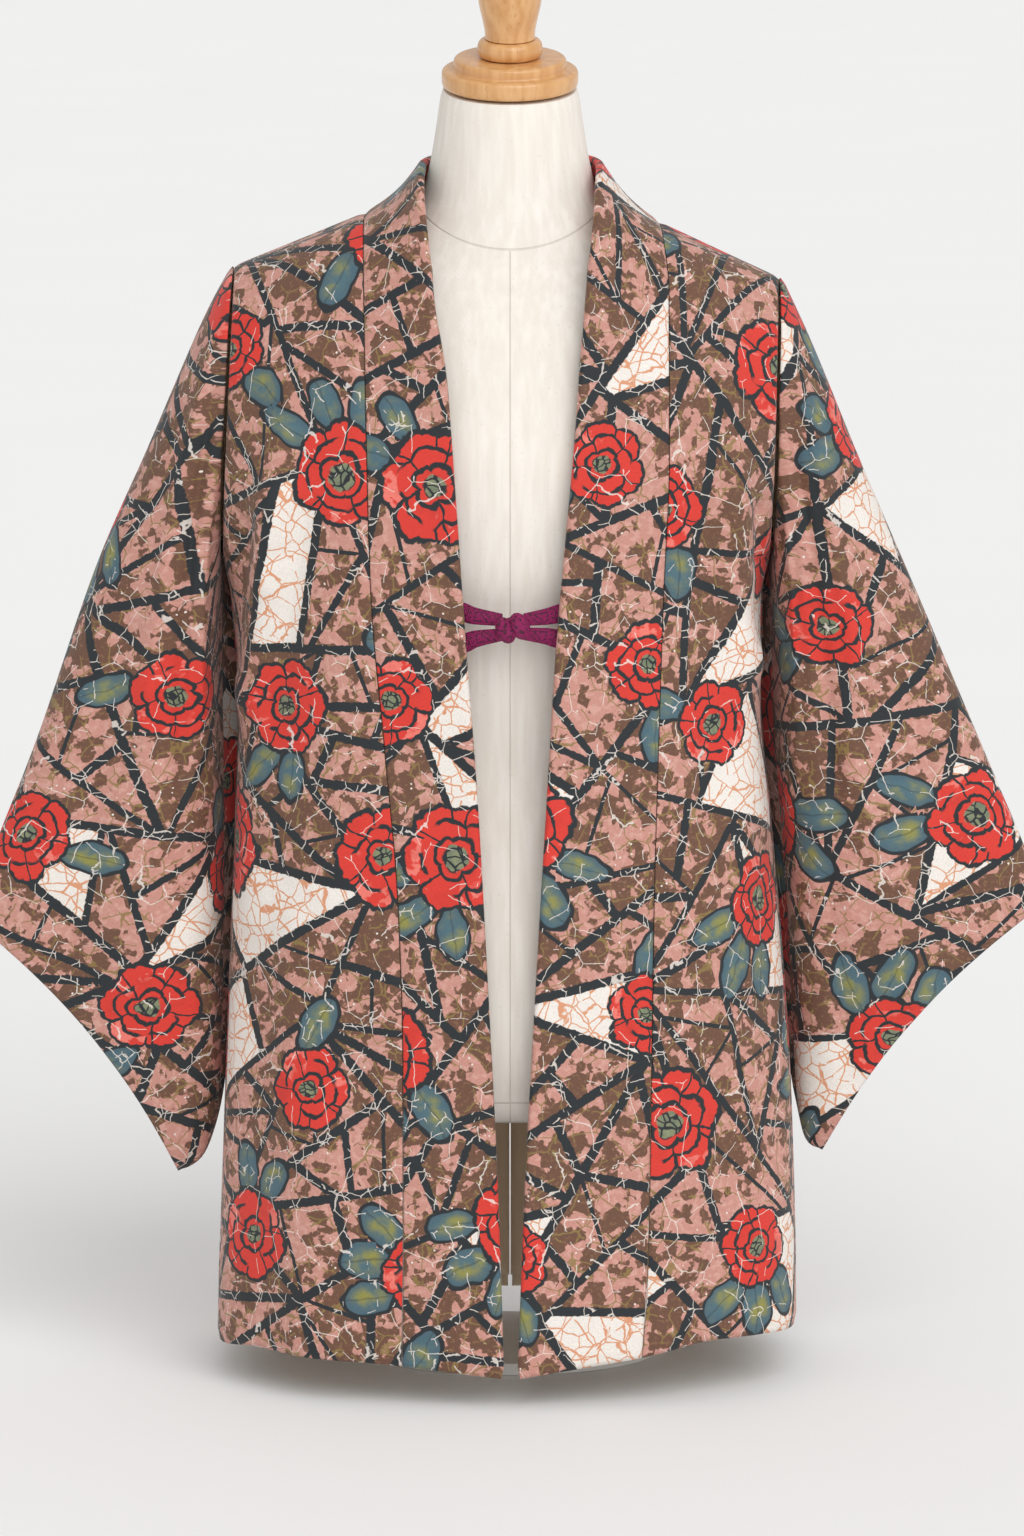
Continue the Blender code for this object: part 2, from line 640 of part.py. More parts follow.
def neck_wood(parts, mat):
    axis = bpy.data.objects.new("neck_axis", None)
    parts.objects.link(axis)
    axis.location = (0.0, NECK_TOP_Y * 0.6 - 0.004, NECK_TOP_Z)
    axis.rotation_euler.x = math.radians(CAP_LEAN_DEG)
    foot = 0.0
    turned = (("neck_cap", CAP_PROFILE), ("neck_bead", BEAD_PROFILE), ("neck_knob", KNOB_PROFILE))
    for name, profile in turned:
        turned_piece(parts, name, profile, mat, axis, foot)
        foot += profile[0].z + REST_GAP


def stand(parts, mat):
    mesh = bmesh.new()
    bmesh.ops.create_cone(mesh, cap_ends=True, segments=56, radius1=1.0, radius2=1.0, depth=PLATE_THICK)
    bmesh.ops.scale(mesh, vec=(PLATE_HALF_WIDTH, PLATE_HALF_DEPTH, 1.0), verts=mesh.verts)
    data = bpy.data.meshes.new("stand_base")
    mesh.to_mesh(data)
    mesh.free()
    data.materials.append(mat)
    plate = bpy.data.objects.new("stand_base", data)
    plate.location = (0.0, PLATE_MIDDLE_Y, PLATE_THICK / 2)
    parts.objects.link(plate)
    foot = PLATE_THICK + REST_GAP
    top = FORM_RINGS[0].z - REST_GAP
    for side in ("left", "right"):
        mesh = bmesh.new()
        bmesh.ops.create_cone(mesh, cap_ends=True, segments=24, radius1=POST_RADIUS, radius2=POST_RADIUS,
                              depth=top - foot)
        data = bpy.data.meshes.new("stand_post_" + side)
        mesh.to_mesh(data)
        mesh.free()
        data.materials.append(mat)
        data.shade_smooth()
        data.set_sharp_from_angle(angle=math.radians(40))
        post = bpy.data.objects.new("stand_post_" + side, data)
        post.location = (SIGN[side] * POST_X, POST_Y, 0.5 * (foot + top))
        parts.objects.link(post)


def tie(parts, mat):
    """The braided tie: two flat braids from behind each collar edge to one knot in the middle."""
    knot_x, knot_y, knot_z = KNOT_MIDDLE
    for braid in BRAIDS:
        sign = SIGN[braid.side]
        edge = between(COLLAR_EDGE, "z", braid.z_edge, braid.side) + 0.008
        y_edge = between(COLLAR_EDGE, "z", braid.z_edge, "y") + 0.0075
        z_middle = 0.5 * (braid.z_edge + braid.z_knot) - 0.0006
        route = [Vector((sign * edge, y_edge, braid.z_edge)),
                 Vector((sign * (edge * 0.80), y_edge - 0.0005, braid.z_edge - 0.0008)),
                 Vector((sign * (edge * 0.60), y_edge - 0.0030, z_middle)),
                 Vector((knot_x + sign * (0.5 * KNOT_SIZE[0] + 0.0012), knot_y + 0.001, braid.z_knot))]
        line = resample(smooth_curve(route), [k / 8 for k in range(9)])
        grid = []
        for k, point in enumerate(line):
            half = 0.5 * BRAID_WIDTH * (1.0 - BRAID_NARROWING * k / 8)
            row = [point + Vector((0.0, 0.0008 * t * t, half * t)) for t in (-1.0, -0.5, 0.0, 0.5, 1.0)]
            grid.append(row)
        if braid.side == "left":
            grid = [list(reversed(row)) for row in grid]
        add_sheet(parts, braid.name, grid, BRAID_WALL, mat)
    mesh = bmesh.new()
    bmesh.ops.create_uvsphere(mesh, u_segments=20, v_segments=12, radius=0.5)
    bmesh.ops.scale(mesh, vec=KNOT_SIZE, verts=mesh.verts)
    data = bpy.data.meshes.new("himo_knot")
    mesh.to_mesh(data)
    mesh.free()
    data.materials.append(mat)
    data.shade_smooth()
    knot = bpy.data.objects.new("himo_knot", data)
    knot.location = KNOT_MIDDLE
    parts.objects.link(knot)


def build():
    parts = clear_scene()
    body_cloth = material("printed_cloth_body", (0.42, 0.29, 0.24), 0.75)
    collar_cloth = material("printed_cloth_collar", (0.50, 0.33, 0.28), 0.75)
    lining_cloth = material("lining_taupe", (0.31, 0.23, 0.18), 0.6)
    linen = material("form_linen", (0.84, 0.79, 0.72), 0.8)
    wood = material("turned_wood", (0.70, 0.45, 0.22), 0.3)
    braid = material("tie_braid", (0.33, 0.02, 0.15), 0.6)
    metal = material("stand_paint", (0.80, 0.78, 0.75), 0.45)
    for side in ("left", "right"):
        body_panel(parts, side, body_cloth)
        gusset(parts, side, body_cloth)
        sleeve(parts, side, body_cloth)
        collar(parts, side, collar_cloth)
        lining(parts, side, lining_cloth)
    dress_form(parts, linen)
    neck_wood(parts, wood)
    stand(parts, metal)
    tie(parts, braid)


build()
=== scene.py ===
"""Finished cloth, dress form, wood and tie for the haori jacket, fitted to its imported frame.

Metres, +Z up, the wearer's front faces -Y. "left" and "right" are the viewer's, so left is -X.
"""

import math
import random
from collections import namedtuple

import bmesh
import bpy
import numpy as np
from mathutils import Matrix, Vector


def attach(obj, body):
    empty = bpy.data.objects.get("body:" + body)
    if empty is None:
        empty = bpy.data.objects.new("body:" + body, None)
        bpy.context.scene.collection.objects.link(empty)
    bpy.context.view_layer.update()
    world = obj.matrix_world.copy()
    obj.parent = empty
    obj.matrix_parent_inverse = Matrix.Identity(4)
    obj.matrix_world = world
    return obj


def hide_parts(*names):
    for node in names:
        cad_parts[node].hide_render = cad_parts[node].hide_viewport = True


def table(columns, *lines):
    """A table with named columns, one row for each line of values."""
    row = namedtuple("Row", columns)
    return tuple(row(*line) for line in lines)


# ---------------------------------------------------------------- sizes of the cut and worn cloth
CLOTH_THICK = 0.0012
LINING_THICK = 0.0008
CLOTH_WALL = 0.0016
COLLAR_ROLL = 0.0030
COLLAR_SETBACK = 0.0008
COLLAR_HOLLOW = 0.0035
# How far the collar's rolled edge turns, and the length of its inside leaf: low down, and more at the neck
COLLAR_TURN_DEG = (95.0, 75.0)
COLLAR_LEAF = (0.0015, 0.0240)
COLLAR_TURN_IN_Z = 0.770
COLLAR_TURN_IN_RISE = 0.068
NAPE_EDGE_Y = 0.066
NAPE_EDGE_RISE = 0.0045
CENTRE_ACROSS = 0.004
SEAM_GAP = 0.0004
UNDERARM_Z = 0.570
SLEEVE_BULGE = 0.85
CUFF_HOLLOW = 0.016
NECK_POINT_Z = 0.798
NAPE_Z = 0.840
NAPE_DROP_DEG = 42.0
ROUNDNESS = 2.25
SHOULDER_ROUNDNESS = 2.5
CAP_LEAN_DEG = 9.0
NECK_TOP_Z = 0.892
NECK_TOP_Y = -0.012

# Rows and columns of the cloth's mesh, a thread every four millimetres or so
LOWER_ROWS = 140
FRONT_UPPER_ROWS = 78
BACK_UPPER_ROWS = 60
NECKLINE_ROWS = 30
PANEL_COLUMNS = 58
SLEEVE_RINGS = 118
SLEEVE_SIDES = 132
ROW_SAMPLES = 80
HALVINGS = 26
COLLAR_GUESS = 0.6
# A crease lifts the cloth outward: more to the front or back than to the side
CREASE_SIDEWAYS = 0.6
CREASE_FORWARD = 0.2
# Sleeve creases fade at the two folds and close to the armhole; the cuff hollows over its last stretch
FOLD_CLEARANCE = 1.6
ARMHOLE_CLEARANCE = 0.10
CUFF_HOLLOW_FROM = 0.6
EDGE_STEPS = (0.0, 0.006, 0.013)

GUSSET_COLUMNS = 12
GUSSET_BULGE = 0.0015
LINING_ROWS = 80
LINING_COLUMNS = 50
# The lining's place, as shares of the way from the hem to the underarm and as an angle from the side
LINING_LOW = -0.985
LINING_HEIGHT = 0.58
LINING_SHORT_OF_SIDE = 0.45
LINING_GAP = 0.0012
SIDE_FADE = 0.30
SEAM_FADE = 0.03
# How far the sleeve's back tucks in behind the body, by the share of the way down the sleeve
SLEEVE_TUCKS = table(
    "share left right",
    (0.00, 0.0, 0.0), (0.12, 0.0131, 0.0116), (0.32, 0.0167, 0.0145), (0.54, 0.0142, 0.0156),
    (0.76, 0.0135, 0.0143), (0.88, 0.0100, 0.0100), (0.97, 0.0, 0.0),
)
SLEEVE_TUCK_AT = -0.50
SLEEVE_TUCK_SPREAD = 0.38
EASING_ROUNDS = 90

SEAM_DIP = 0.0011
SEAM_DIP_WIDTH = 0.0030
HEM_TURN = 0.0018
HEM_TURN_WIDTH = 0.0050

# Half girth of the worn cloth from the hem up to the underarm
GIRTHS = table(
    "z left right front back gusset",
    (0.030, 0.2035, 0.1990, 0.1360, 0.1300, 0.0340),
    (0.120, 0.1995, 0.1965, 0.1345, 0.1290, 0.0310),
    (0.210, 0.1960, 0.1930, 0.1325, 0.1270, 0.0270),
    (0.300, 0.1925, 0.1865, 0.1305, 0.1240, 0.0230),
    (0.390, 0.1885, 0.1785, 0.1285, 0.1200, 0.0190),
    (0.470, 0.1860, 0.1715, 0.1265, 0.1150, 0.0150),
    (0.540, 0.1910, 0.1725, 0.1245, 0.1120, 0.0120),
    (0.570, 0.1965, 0.1780, 0.1235, 0.1100, 0.0105),
)

# Height of the front's hem, by the share of the way from the middle to the side
FRONT_HEM = table(
    "share left right",
    (0.25, 0.0250, 0.0250),
    (0.40, 0.0284, 0.0305),
    (0.55, 0.0300, 0.0365),
    (0.70, 0.0307, 0.0404),
    (0.88, 0.0310, 0.0400),
    (1.00, 0.0260, 0.0370),
)
BACK_HEM_Z = 0.022

# Distance of the collar's seam and of its inner edge from the middle of the front
COLLAR_SEAM = table(
    "z left right",
    (0.030, 0.0745, 0.0905),
    (0.110, 0.0733, 0.0950),
    (0.240, 0.0733, 0.0970),
    (0.350, 0.0765, 0.0985),
    (0.450, 0.0850, 0.1012),
    (0.560, 0.0945, 0.1046),
    (0.650, 0.0971, 0.1080),
    (0.760, 0.0995, 0.1080),
    (0.798, 0.1003, 0.1035),
)
COLLAR_EDGE = table(
    "z left right y",
    (0.0210, 0.0042, 0.0055, -0.1400),
    (0.1600, 0.0088, 0.0109, -0.1370),
    (0.2850, 0.0149, 0.0176, -0.1335),
    (0.4200, 0.0223, 0.0256, -0.1295),
    (0.5300, 0.0305, 0.0325, -0.1260),
    (0.6580, 0.0391, 0.0437, -0.1190),
    (0.7110, 0.0437, 0.0475, -0.1120),
    (0.7520, 0.0512, 0.0515, -0.1040),
    (0.7810, 0.0545, 0.0545, -0.0930),
    (0.8050, 0.0575, 0.0575, -0.0790),
    (0.8220, 0.0597, 0.0592, -0.0640),
    (0.8340, 0.0605, 0.0605, -0.0430),
    (0.8390, 0.0600, 0.0612, -0.0200),
    (0.8407, 0.0597, 0.0612, 0.0000),
)

# Outer fold and inner fold of each sleeve, from the armhole to the cuff
SLEEVE_FOLDS = {
    "left": (
        table("x z", (0.1905, 0.768), (0.2110, 0.729), (0.2480, 0.644),
         (0.2845, 0.561), (0.3247, 0.4455), (0.3530, 0.374),
         (0.3750, 0.3160)),
        table("x z", (0.1975, 0.5708), (0.2005, 0.515), (0.2005, 0.430),
         (0.2005, 0.330), (0.2025, 0.235), (0.2055, 0.180),
         (0.2130, 0.148), (0.2298, 0.134)),
    ),
    "right": (
        table("x z", (0.1860, 0.760), (0.2085, 0.711), (0.2420, 0.630),
         (0.2850, 0.531), (0.3290, 0.428), (0.3570, 0.362),
         (0.3690, 0.3250)),
        table("x z", (0.1790, 0.5708), (0.1815, 0.520), (0.1860, 0.430),
         (0.1940, 0.330), (0.1990, 0.235), (0.2010, 0.190),
         (0.2050, 0.160), (0.2160, 0.149)),
    ),
}
SLEEVE_DEPTHS = table(
    "share half_depth middle_y",
    (0.00, 0.0560, 0.000),
    (0.35, 0.0520, -0.004),
    (0.70, 0.0400, -0.005),
    (1.00, 0.0230, 0.000),
)

# Creases, by side and face: a crest (or a trough, below zero) from one point of a panel to another. On the
# body a point is (x, z); on a sleeve it is the share of the way down, and across from the inner fold.
CREASE = "a0 b0 a1 b1 width height"
CREASE_FADE = 3.0
BODY_CREASES = {
    ("left", "front"): table(
        CREASE,
        (0.160, 0.620, 0.181, 0.480, 0.016, 0.0097),
        (0.176, 0.600, 0.186, 0.500, 0.010, -0.0078),
        (0.125, 0.180, 0.140, 0.010, 0.030, 0.0046),
        (0.168, 0.300, 0.172, 0.010, 0.024, -0.0052),
        (0.152, 0.690, 0.163, 0.560, 0.011, 0.0043),
        (0.140, 0.610, 0.160, 0.470, 0.009, -0.0034),
        (0.172, 0.470, 0.178, 0.330, 0.012, 0.0037),
        (0.112, 0.520, 0.128, 0.350, 0.020, 0.0028),
        (0.150, 0.330, 0.158, 0.120, 0.016, 0.0034),
        (0.100, 0.300, 0.108, 0.070, 0.018, -0.0031),
        (0.108, 0.780, 0.150, 0.700, 0.012, 0.0025),
    ),
    ("left", "back"): table(
        CREASE,
        (0.150, 0.640, 0.165, 0.440, 0.020, 0.0084),
        (0.090, 0.260, 0.100, 0.010, 0.030, 0.0052),
        (0.120, 0.700, 0.140, 0.540, 0.014, 0.0040),
        (0.060, 0.720, 0.072, 0.600, 0.018, -0.0025),
        (0.040, 0.520, 0.048, 0.300, 0.024, 0.0037),
        (0.130, 0.420, 0.142, 0.200, 0.018, -0.0047),
        (0.166, 0.300, 0.174, 0.060, 0.016, 0.0047),
    ),
    ("right", "front"): table(
        CREASE,
        (0.150, 0.640, 0.160, 0.500, 0.014, 0.0078),
        (0.170, 0.610, 0.169, 0.520, 0.008, -0.0065),
        (0.140, 0.220, 0.150, 0.010, 0.026, -0.0046),
        (0.140, 0.700, 0.150, 0.560, 0.012, 0.0034),
        (0.160, 0.520, 0.166, 0.360, 0.013, 0.0040),
        (0.128, 0.560, 0.136, 0.400, 0.016, -0.0031),
        (0.172, 0.380, 0.182, 0.160, 0.016, -0.0040),
        (0.118, 0.320, 0.122, 0.100, 0.018, 0.0031),
        (0.112, 0.780, 0.150, 0.690, 0.012, 0.0028),
    ),
    ("right", "back"): table(
        CREASE,
        (0.148, 0.650, 0.160, 0.450, 0.018, 0.0078),
        (0.070, 0.280, 0.085, 0.010, 0.030, -0.0046),
        (0.118, 0.710, 0.136, 0.550, 0.014, 0.0037),
        (0.050, 0.560, 0.056, 0.340, 0.022, 0.0034),
        (0.124, 0.400, 0.136, 0.180, 0.020, 0.0050),
        (0.160, 0.330, 0.168, 0.090, 0.014, -0.0040),
        (0.026, 0.260, 0.030, 0.060, 0.018, 0.0031),
    ),
}
SLEEVE_CREASES = {
    ("left", "front"): table(
        CREASE,
        (0.03, 0.86, 0.52, 0.52, 0.070, 0.0050),
        (0.06, 0.62, 0.44, 0.30, 0.055, -0.0042),
        (0.02, 0.38, 0.30, 0.16, 0.050, 0.0036),
        (0.45, 0.78, 0.92, 0.66, 0.075, -0.0034),
        (0.55, 0.36, 0.97, 0.44, 0.070, 0.0034),
    ),
    ("left", "back"): table(
        CREASE,
        (0.04, 0.80, 0.60, 0.60, 0.070, 0.0050),
        (0.10, 0.50, 0.50, 0.28, 0.060, -0.0040),
        (0.52, 0.70, 0.96, 0.74, 0.070, -0.0034),
        (0.60, 0.34, 0.95, 0.40, 0.060, 0.0034),
    ),
    ("right", "front"): table(
        CREASE,
        (0.03, 0.84, 0.46, 0.60, 0.062, 0.0048),
        (0.05, 0.60, 0.50, 0.34, 0.060, -0.0042),
        (0.02, 0.34, 0.34, 0.14, 0.050, 0.0036),
        (0.40, 0.82, 0.90, 0.74, 0.066, -0.0030),
        (0.50, 0.46, 0.97, 0.54, 0.080, 0.0036),
        (0.62, 0.22, 0.94, 0.24, 0.050, -0.0024),
    ),
    ("right", "back"): table(
        CREASE,
        (0.04, 0.78, 0.56, 0.62, 0.066, 0.0048),
        (0.08, 0.48, 0.46, 0.26, 0.055, -0.0038),
        (0.50, 0.66, 0.95, 0.70, 0.072, -0.0032),
        (0.62, 0.32, 0.96, 0.36, 0.060, 0.0032),
    ),
}

# Dress form: half width and depths to the front and to the back of its middle
FORM_RINGS = table(
    "z half_width front back",
    (0.1900, 0.1150, 0.0930, 0.0860),
    (0.1930, 0.1290, 0.1040, 0.0960),
    (0.2000, 0.1340, 0.1080, 0.1000),
    (0.2500, 0.1470, 0.1130, 0.1080),
    (0.3100, 0.1500, 0.1120, 0.1080),
    (0.3800, 0.1400, 0.1040, 0.1000),
    (0.4500, 0.1260, 0.0950, 0.0880),
    (0.5100, 0.1280, 0.0960, 0.0860),
    (0.5800, 0.1420, 0.1060, 0.0940),
    (0.6400, 0.1530, 0.1100, 0.0970),
    (0.6900, 0.1610, 0.1030, 0.0930),
    (0.7250, 0.1660, 0.0950, 0.0850),
    (0.7480, 0.1620, 0.0870, 0.0740),
    (0.7620, 0.1490, 0.0800, 0.0650),
    (0.7730, 0.1280, 0.0740, 0.0580),
    (0.7820, 0.1080, 0.0700, 0.0550),
    (0.7900, 0.0900, 0.0680, 0.0540),
    (0.7980, 0.0760, 0.0660, 0.0535),
    (0.8070, 0.0670, 0.0640, 0.0530),
    (0.8200, 0.0595, 0.0600, 0.0510),
    (0.8400, 0.0542, 0.0560, 0.0480),
    (0.8650, 0.0500, 0.0530, 0.0440),
    (0.8860, 0.0468, 0.0500, 0.0400),
    (0.8905, 0.0452, 0.0485, 0.0385),
)
FORM_SIDES = 128
FORM_HEIGHTS = 150

# Turned wood: radius and height above the piece's own foot, down its outer side
CAP_PROFILE = table(
    "radius z",
    (0.0, 0.0200), (0.0365, 0.0200), (0.0380, 0.0188), (0.0384, 0.0165), (0.0384, 0.0135),
    (0.0392, 0.0124), (0.0440, 0.0122), (0.0458, 0.0112), (0.0464, 0.0092), (0.0464, 0.0030),
    (0.0456, 0.0008), (0.0440, 0.0), (0.0, 0.0),
)
BEAD_PROFILE = table(
    "radius z",
    (0.0, 0.0125), (0.0180, 0.0125), (0.0200, 0.0118), (0.0216, 0.0098), (0.0222, 0.0068),
    (0.0220, 0.0036), (0.0208, 0.0010), (0.0190, 0.0), (0.0, 0.0),
)
KNOB_PROFILE = table(
    "radius z",
    (0.0, 0.0620), (0.0080, 0.0608), (0.0150, 0.0568), (0.0200, 0.0498), (0.0224, 0.0405),
    (0.0222, 0.0310), (0.0206, 0.0215), (0.0186, 0.013), (0.0172, 0.0060), (0.0170, 0.0020),
    (0.0172, 0.0), (0.0, 0.0),
)
REST_GAP = 0.0003
TURNED_EDGE = 0.0010
# The form's sections, and how the neck leans forward from the shoulders up
FORM_ROUNDNESS = 2.15
LEAN_FROM_Z = 0.800
LEAN_FORWARD = 0.6
TURNING_STEPS = 128

# Tie braids: heights at the collar's edge and at the knot
BRAIDS = table(
    "name side z_edge z_knot",
    ("himo_left_upper", "left", 0.5480, 0.5432),
    ("himo_left_lower", "left", 0.5270, 0.5332),
    ("himo_right_upper", "right", 0.5470, 0.5434),
    ("himo_right_lower", "right", 0.5300, 0.5338),
)
BRAID_WIDTH = 0.0142
BRAID_NARROWING = 0.40
BRAID_THICK = 0.0024
BRAID_STRAND = 0.0019
KNOT_MIDDLE = (0.0020, -0.1285, 0.5380)
# Lobes of the knot: middle from the knot's own, half sizes and lean, in metres and degrees
KNOT_LOBES = table(
    "x y z half_x half_y half_z lean",
    (-0.0050, 0.0002, -0.0015, 0.0064, 0.0070, 0.0094, -24.0),
    (0.0046, -0.0010, 0.0015, 0.0066, 0.0074, 0.0096, -24.0),
    (0.0000, 0.0036, 0.0000, 0.0104, 0.0036, 0.0070, 0.0),
)
KNOT_VOXEL = 0.00045

SIGN = {"left": -1.0, "right": 1.0}

# ---------------------------------------------------------------- the print
GROUND_BROWN = "#6A4836"
GROUND_PINK = "#C48C7F"
BAR_BLACK = "#1D2327"
CRACKLE_WHITE = "#E9DFD6"
FACET_WHITE = "#EFE9E2"
WEB_ORANGE = "#D58B5C"
WEB_OLIVE = "#8A7340"
PETAL_RED = "#D63528"
PETAL_SALMON = "#E9776B"
LEAF_BLUE = "#4C6A74"
LEAF_OLIVE = "#8E8B45"

LARGE_FACET = 0.0088
SHARD = 0.0030
THICK_BAR = 0.0032
MIDDLE_BAR = 0.0025
THIN_BAR = 0.0014
FLOWER_SPACING = 0.142
FLOWER_RADIUS = (0.030, 0.043)
LEAF_LENGTH = (0.019, 0.026)
LEAF_WIDTH = (0.011, 0.015)
WHITE_SHARE = 0.55
PRINT_MARGIN = 0.03
# How facets break: which count as compact, how often a fan, how far cuts drift and lean, the least shard
COMPACT_FACET = 3.4
FAN_CHANCE = 0.6
FAN_DRIFT = 0.08
CUT_DRIFT = 0.10
CUT_LEAN = 0.55
LEAST_SHARD = 0.15
WEAVE_HEIGHT = 0.0004

# ---------------------------------------------------------------- the studio
FLOOR_HALF = 20.0
FLOOR_Z = -0.0005
SURROUND_STRENGTH = 0.62
LIGHT_ENERGY = 1.55
LIGHT_SPREAD = 1.0
LIGHT_HEADING = (-0.32, 0.80, -0.62)
CAMERA_DISTANCE = 5.5
CAMERA_ELEVATION_DEG = 10.0
CAMERA_AIM_X = 0.0014
CAMERA_AIM_Z = 0.420


def put_in_scene(name, data):
    made = bpy.data.objects.new(name, data)
    bpy.context.scene.collection.objects.link(made)
    return made


# ================================================================ shapes of the worn cloth
def between(table, key, value, column):
    """The value of a table's column at a height or share, on a smooth curve through its rows."""
    keys = [getattr(row, key) for row in table]
    values = [getattr(row, column) for row in table]
    if value <= keys[0]:
        return values[0]
    if value >= keys[-1]:
        return values[-1]
    i = 0
    while value > keys[i + 1]:
        i += 1
    span = keys[i + 1] - keys[i]
    t = (value - keys[i]) / span
    slope = (values[i + 1] - values[i]) / span
    before = (values[i] - values[i - 1]) / (keys[i] - keys[i - 1]) if i > 0 else slope
    after = (values[i + 2] - values[i + 1]) / (keys[i + 2] - keys[i + 1]) if i + 2 < len(keys) else slope
    start = 0.0 if before * slope <= 0.0 else 2.0 * before * slope / (before + slope)
    end = 0.0 if after * slope <= 0.0 else 2.0 * after * slope / (after + slope)
    rise = values[i] * (1 + 2 * t) * (1 - t) ** 2 + values[i + 1] * t * t * (3 - 2 * t)
    return rise + span * (start * t * (1 - t) ** 2 - end * t * t * (1 - t))


def power_sin(angle, exponent):
    return max(math.sin(angle), 0.0) ** (2.0 / exponent)


def power_cos(angle, exponent):
    return max(math.cos(angle), 0.0) ** (2.0 / exponent)


def resample(points, shares):
    """Points along a polyline at the given shares of its length."""
    lengths = [0.0]
    for a, b in zip(points, points[1:]):
        lengths.append(lengths[-1] + (b - a).length)
    found = []
    i = 0
    for share in shares:
        target = share * lengths[-1]
        while i < len(points) - 2 and lengths[i + 1] < target:
            i += 1
        span = max(lengths[i + 1] - lengths[i], 1e-9)
        found.append(points[i].lerp(points[i + 1], (target - lengths[i]) / span))
    return found


def smooth_curve(points, per_span=16):
    """A Catmull-Rom curve through the points, as a dense polyline."""
    ends = [points[0] * 2 - points[1]] + list(points) + [points[-1] * 2 - points[-2]]
    dense = []
    for p0, p1, p2, p3 in zip(ends, ends[1:], ends[2:], ends[3:]):
        for step in range(per_span):
            t = step / per_span
            dense.append(0.5 * (2 * p1 + (p2 - p0) * t + (2 * p0 - 5 * p1 + 4 * p2 - p3) * t * t
                                + (3 * p1 - p0 - 3 * p2 + p3) * t ** 3))
    dense.append(points[-1].copy())
    return dense


def edged_shares(count):
    """Even shares from 0 to 1 with closer ones at both ends, where cloth turns under."""
    inner = [k / count for k in range(1, count)]
    return list(EDGE_STEPS) + inner[1:-1] + [1.0 - step for step in reversed(EDGE_STEPS)]


def crease_lift(creases, a, b):
    """How far the creases lift the cloth at a point: each fades sideways and past its ends."""
    total = 0.0
    for crease in creases:
        run_a, run_b = crease.a1 - crease.a0, crease.b1 - crease.b0
        along = ((a - crease.a0) * run_a + (b - crease.b0) * run_b) / (run_a * run_a + run_b * run_b)
        ends = 1.0 - max(0.0, -along, along - 1.0) * CREASE_FADE
        if ends > 0.0:
            nearest = min(max(along, 0.0), 1.0)
            away = math.hypot(a - crease.a0 - run_a * nearest, b - crease.b0 - run_b * nearest)
            total += crease.height * ends * math.exp(-(away / crease.width) ** 2)
    return total


def armhole_point(side, angle):
    """A point of the armhole ring; angle 0 is the underarm, pi the shoulder, the front is positive."""
    outer, inner = SLEEVE_FOLDS[side]
    half = 0.5 * (outer[0].z - UNDERARM_Z)
    up = 0.5 * (1.0 - math.cos(angle))
    x = inner[0].x - 0.0010 + (outer[0].x - inner[0].x - 0.0012) * up
    depth = SLEEVE_DEPTHS[0].half_depth * math.copysign(abs(math.sin(angle)) ** SLEEVE_BULGE, math.sin(angle))
    gusset = GIRTHS[-1].gusset * max(0.0, math.cos(angle * 0.5)) ** 2
    y = -math.copysign(max(abs(depth), gusset), angle)
    return Vector((SIGN[side] * x, y, UNDERARM_Z + 2.0 * half * up))


def hem_height(side, x, face):
    """Height of the hem, by the share of the way from the middle to the side."""
    share = min(abs(x) / getattr(GIRTHS[0], side), 1.0)
    if face == "front":
        return between(FRONT_HEM, "share", share, side)
    return BACK_HEM_Z + (getattr(FRONT_HEM[-1], side) - BACK_HEM_Z) * share ** 4


def panel_point(side, face, across, up):
    """A point of the worn cloth.

    across is the angle from the middle (0) to the side (pi/2). up is -1 at the hem, 0 at the underarm
    and pi/2 on the shoulder line.
    """
    front = face == "front"
    s_x = power_sin(across, ROUNDNESS)
    s_y = power_cos(across, ROUNDNESS)
    if up <= 0.0:
        share = 1.0 + up
        z_side = GIRTHS[0].z + (UNDERARM_Z - GIRTHS[0].z) * share
        reach, depth, gusset = row_sizes(side, face, z_side)
        x = reach * s_x
        y = gusset + (depth - gusset) * s_y
        low = hem_height(side, x, face)
        z = low + (UNDERARM_Z - low) * share
    else:
        edge = armhole_point(side, 2.0 * up if front else -2.0 * up)
        z_middle = UNDERARM_Z + (NAPE_Z - UNDERARM_Z) * power_sin(up, SHOULDER_ROUNDNESS)
        depth = getattr(GIRTHS[-1], face) * power_cos(up, SHOULDER_ROUNDNESS)
        x = abs(edge.x) * s_x
        y = abs(edge.y) + max(depth - abs(edge.y), 0.0) * s_y
        z = z_middle + (edge.z - z_middle) * (x / abs(edge.x)) ** (1.0 + math.cos(up))
    x_seam = between(COLLAR_SEAM, "z", z, side) if front else 0.0
    fade = min(max((x - x_seam) / SEAM_FADE, 0.0), 1.0)
    fade *= min(max((math.pi / 2 - across) / SIDE_FADE, 0.0), 1.0)
    lift = crease_lift(BODY_CREASES[side, face], x, z) * fade
    out = Vector((s_x * CREASE_SIDEWAYS, s_y + CREASE_FORWARD, 0.0)).normalized()
    sign_y = -1.0 if front else 1.0
    return Vector((SIGN[side] * (x + out.x * lift), sign_y * (y + out.y * lift), z))


ROW_SIZES = {}


def row_sizes(side, face, z):
    """Half width, depth and gusset of the body at a height, worked out once for each row."""
    key = (side, face, round(z, 7))
    if key not in ROW_SIZES:
        gusset = between(GIRTHS, "z", z, "gusset") + 0.5 * SEAM_GAP
        ROW_SIZES[key] = (between(GIRTHS, "z", z, side), between(GIRTHS, "z", z, face), gusset)
    return ROW_SIZES[key]


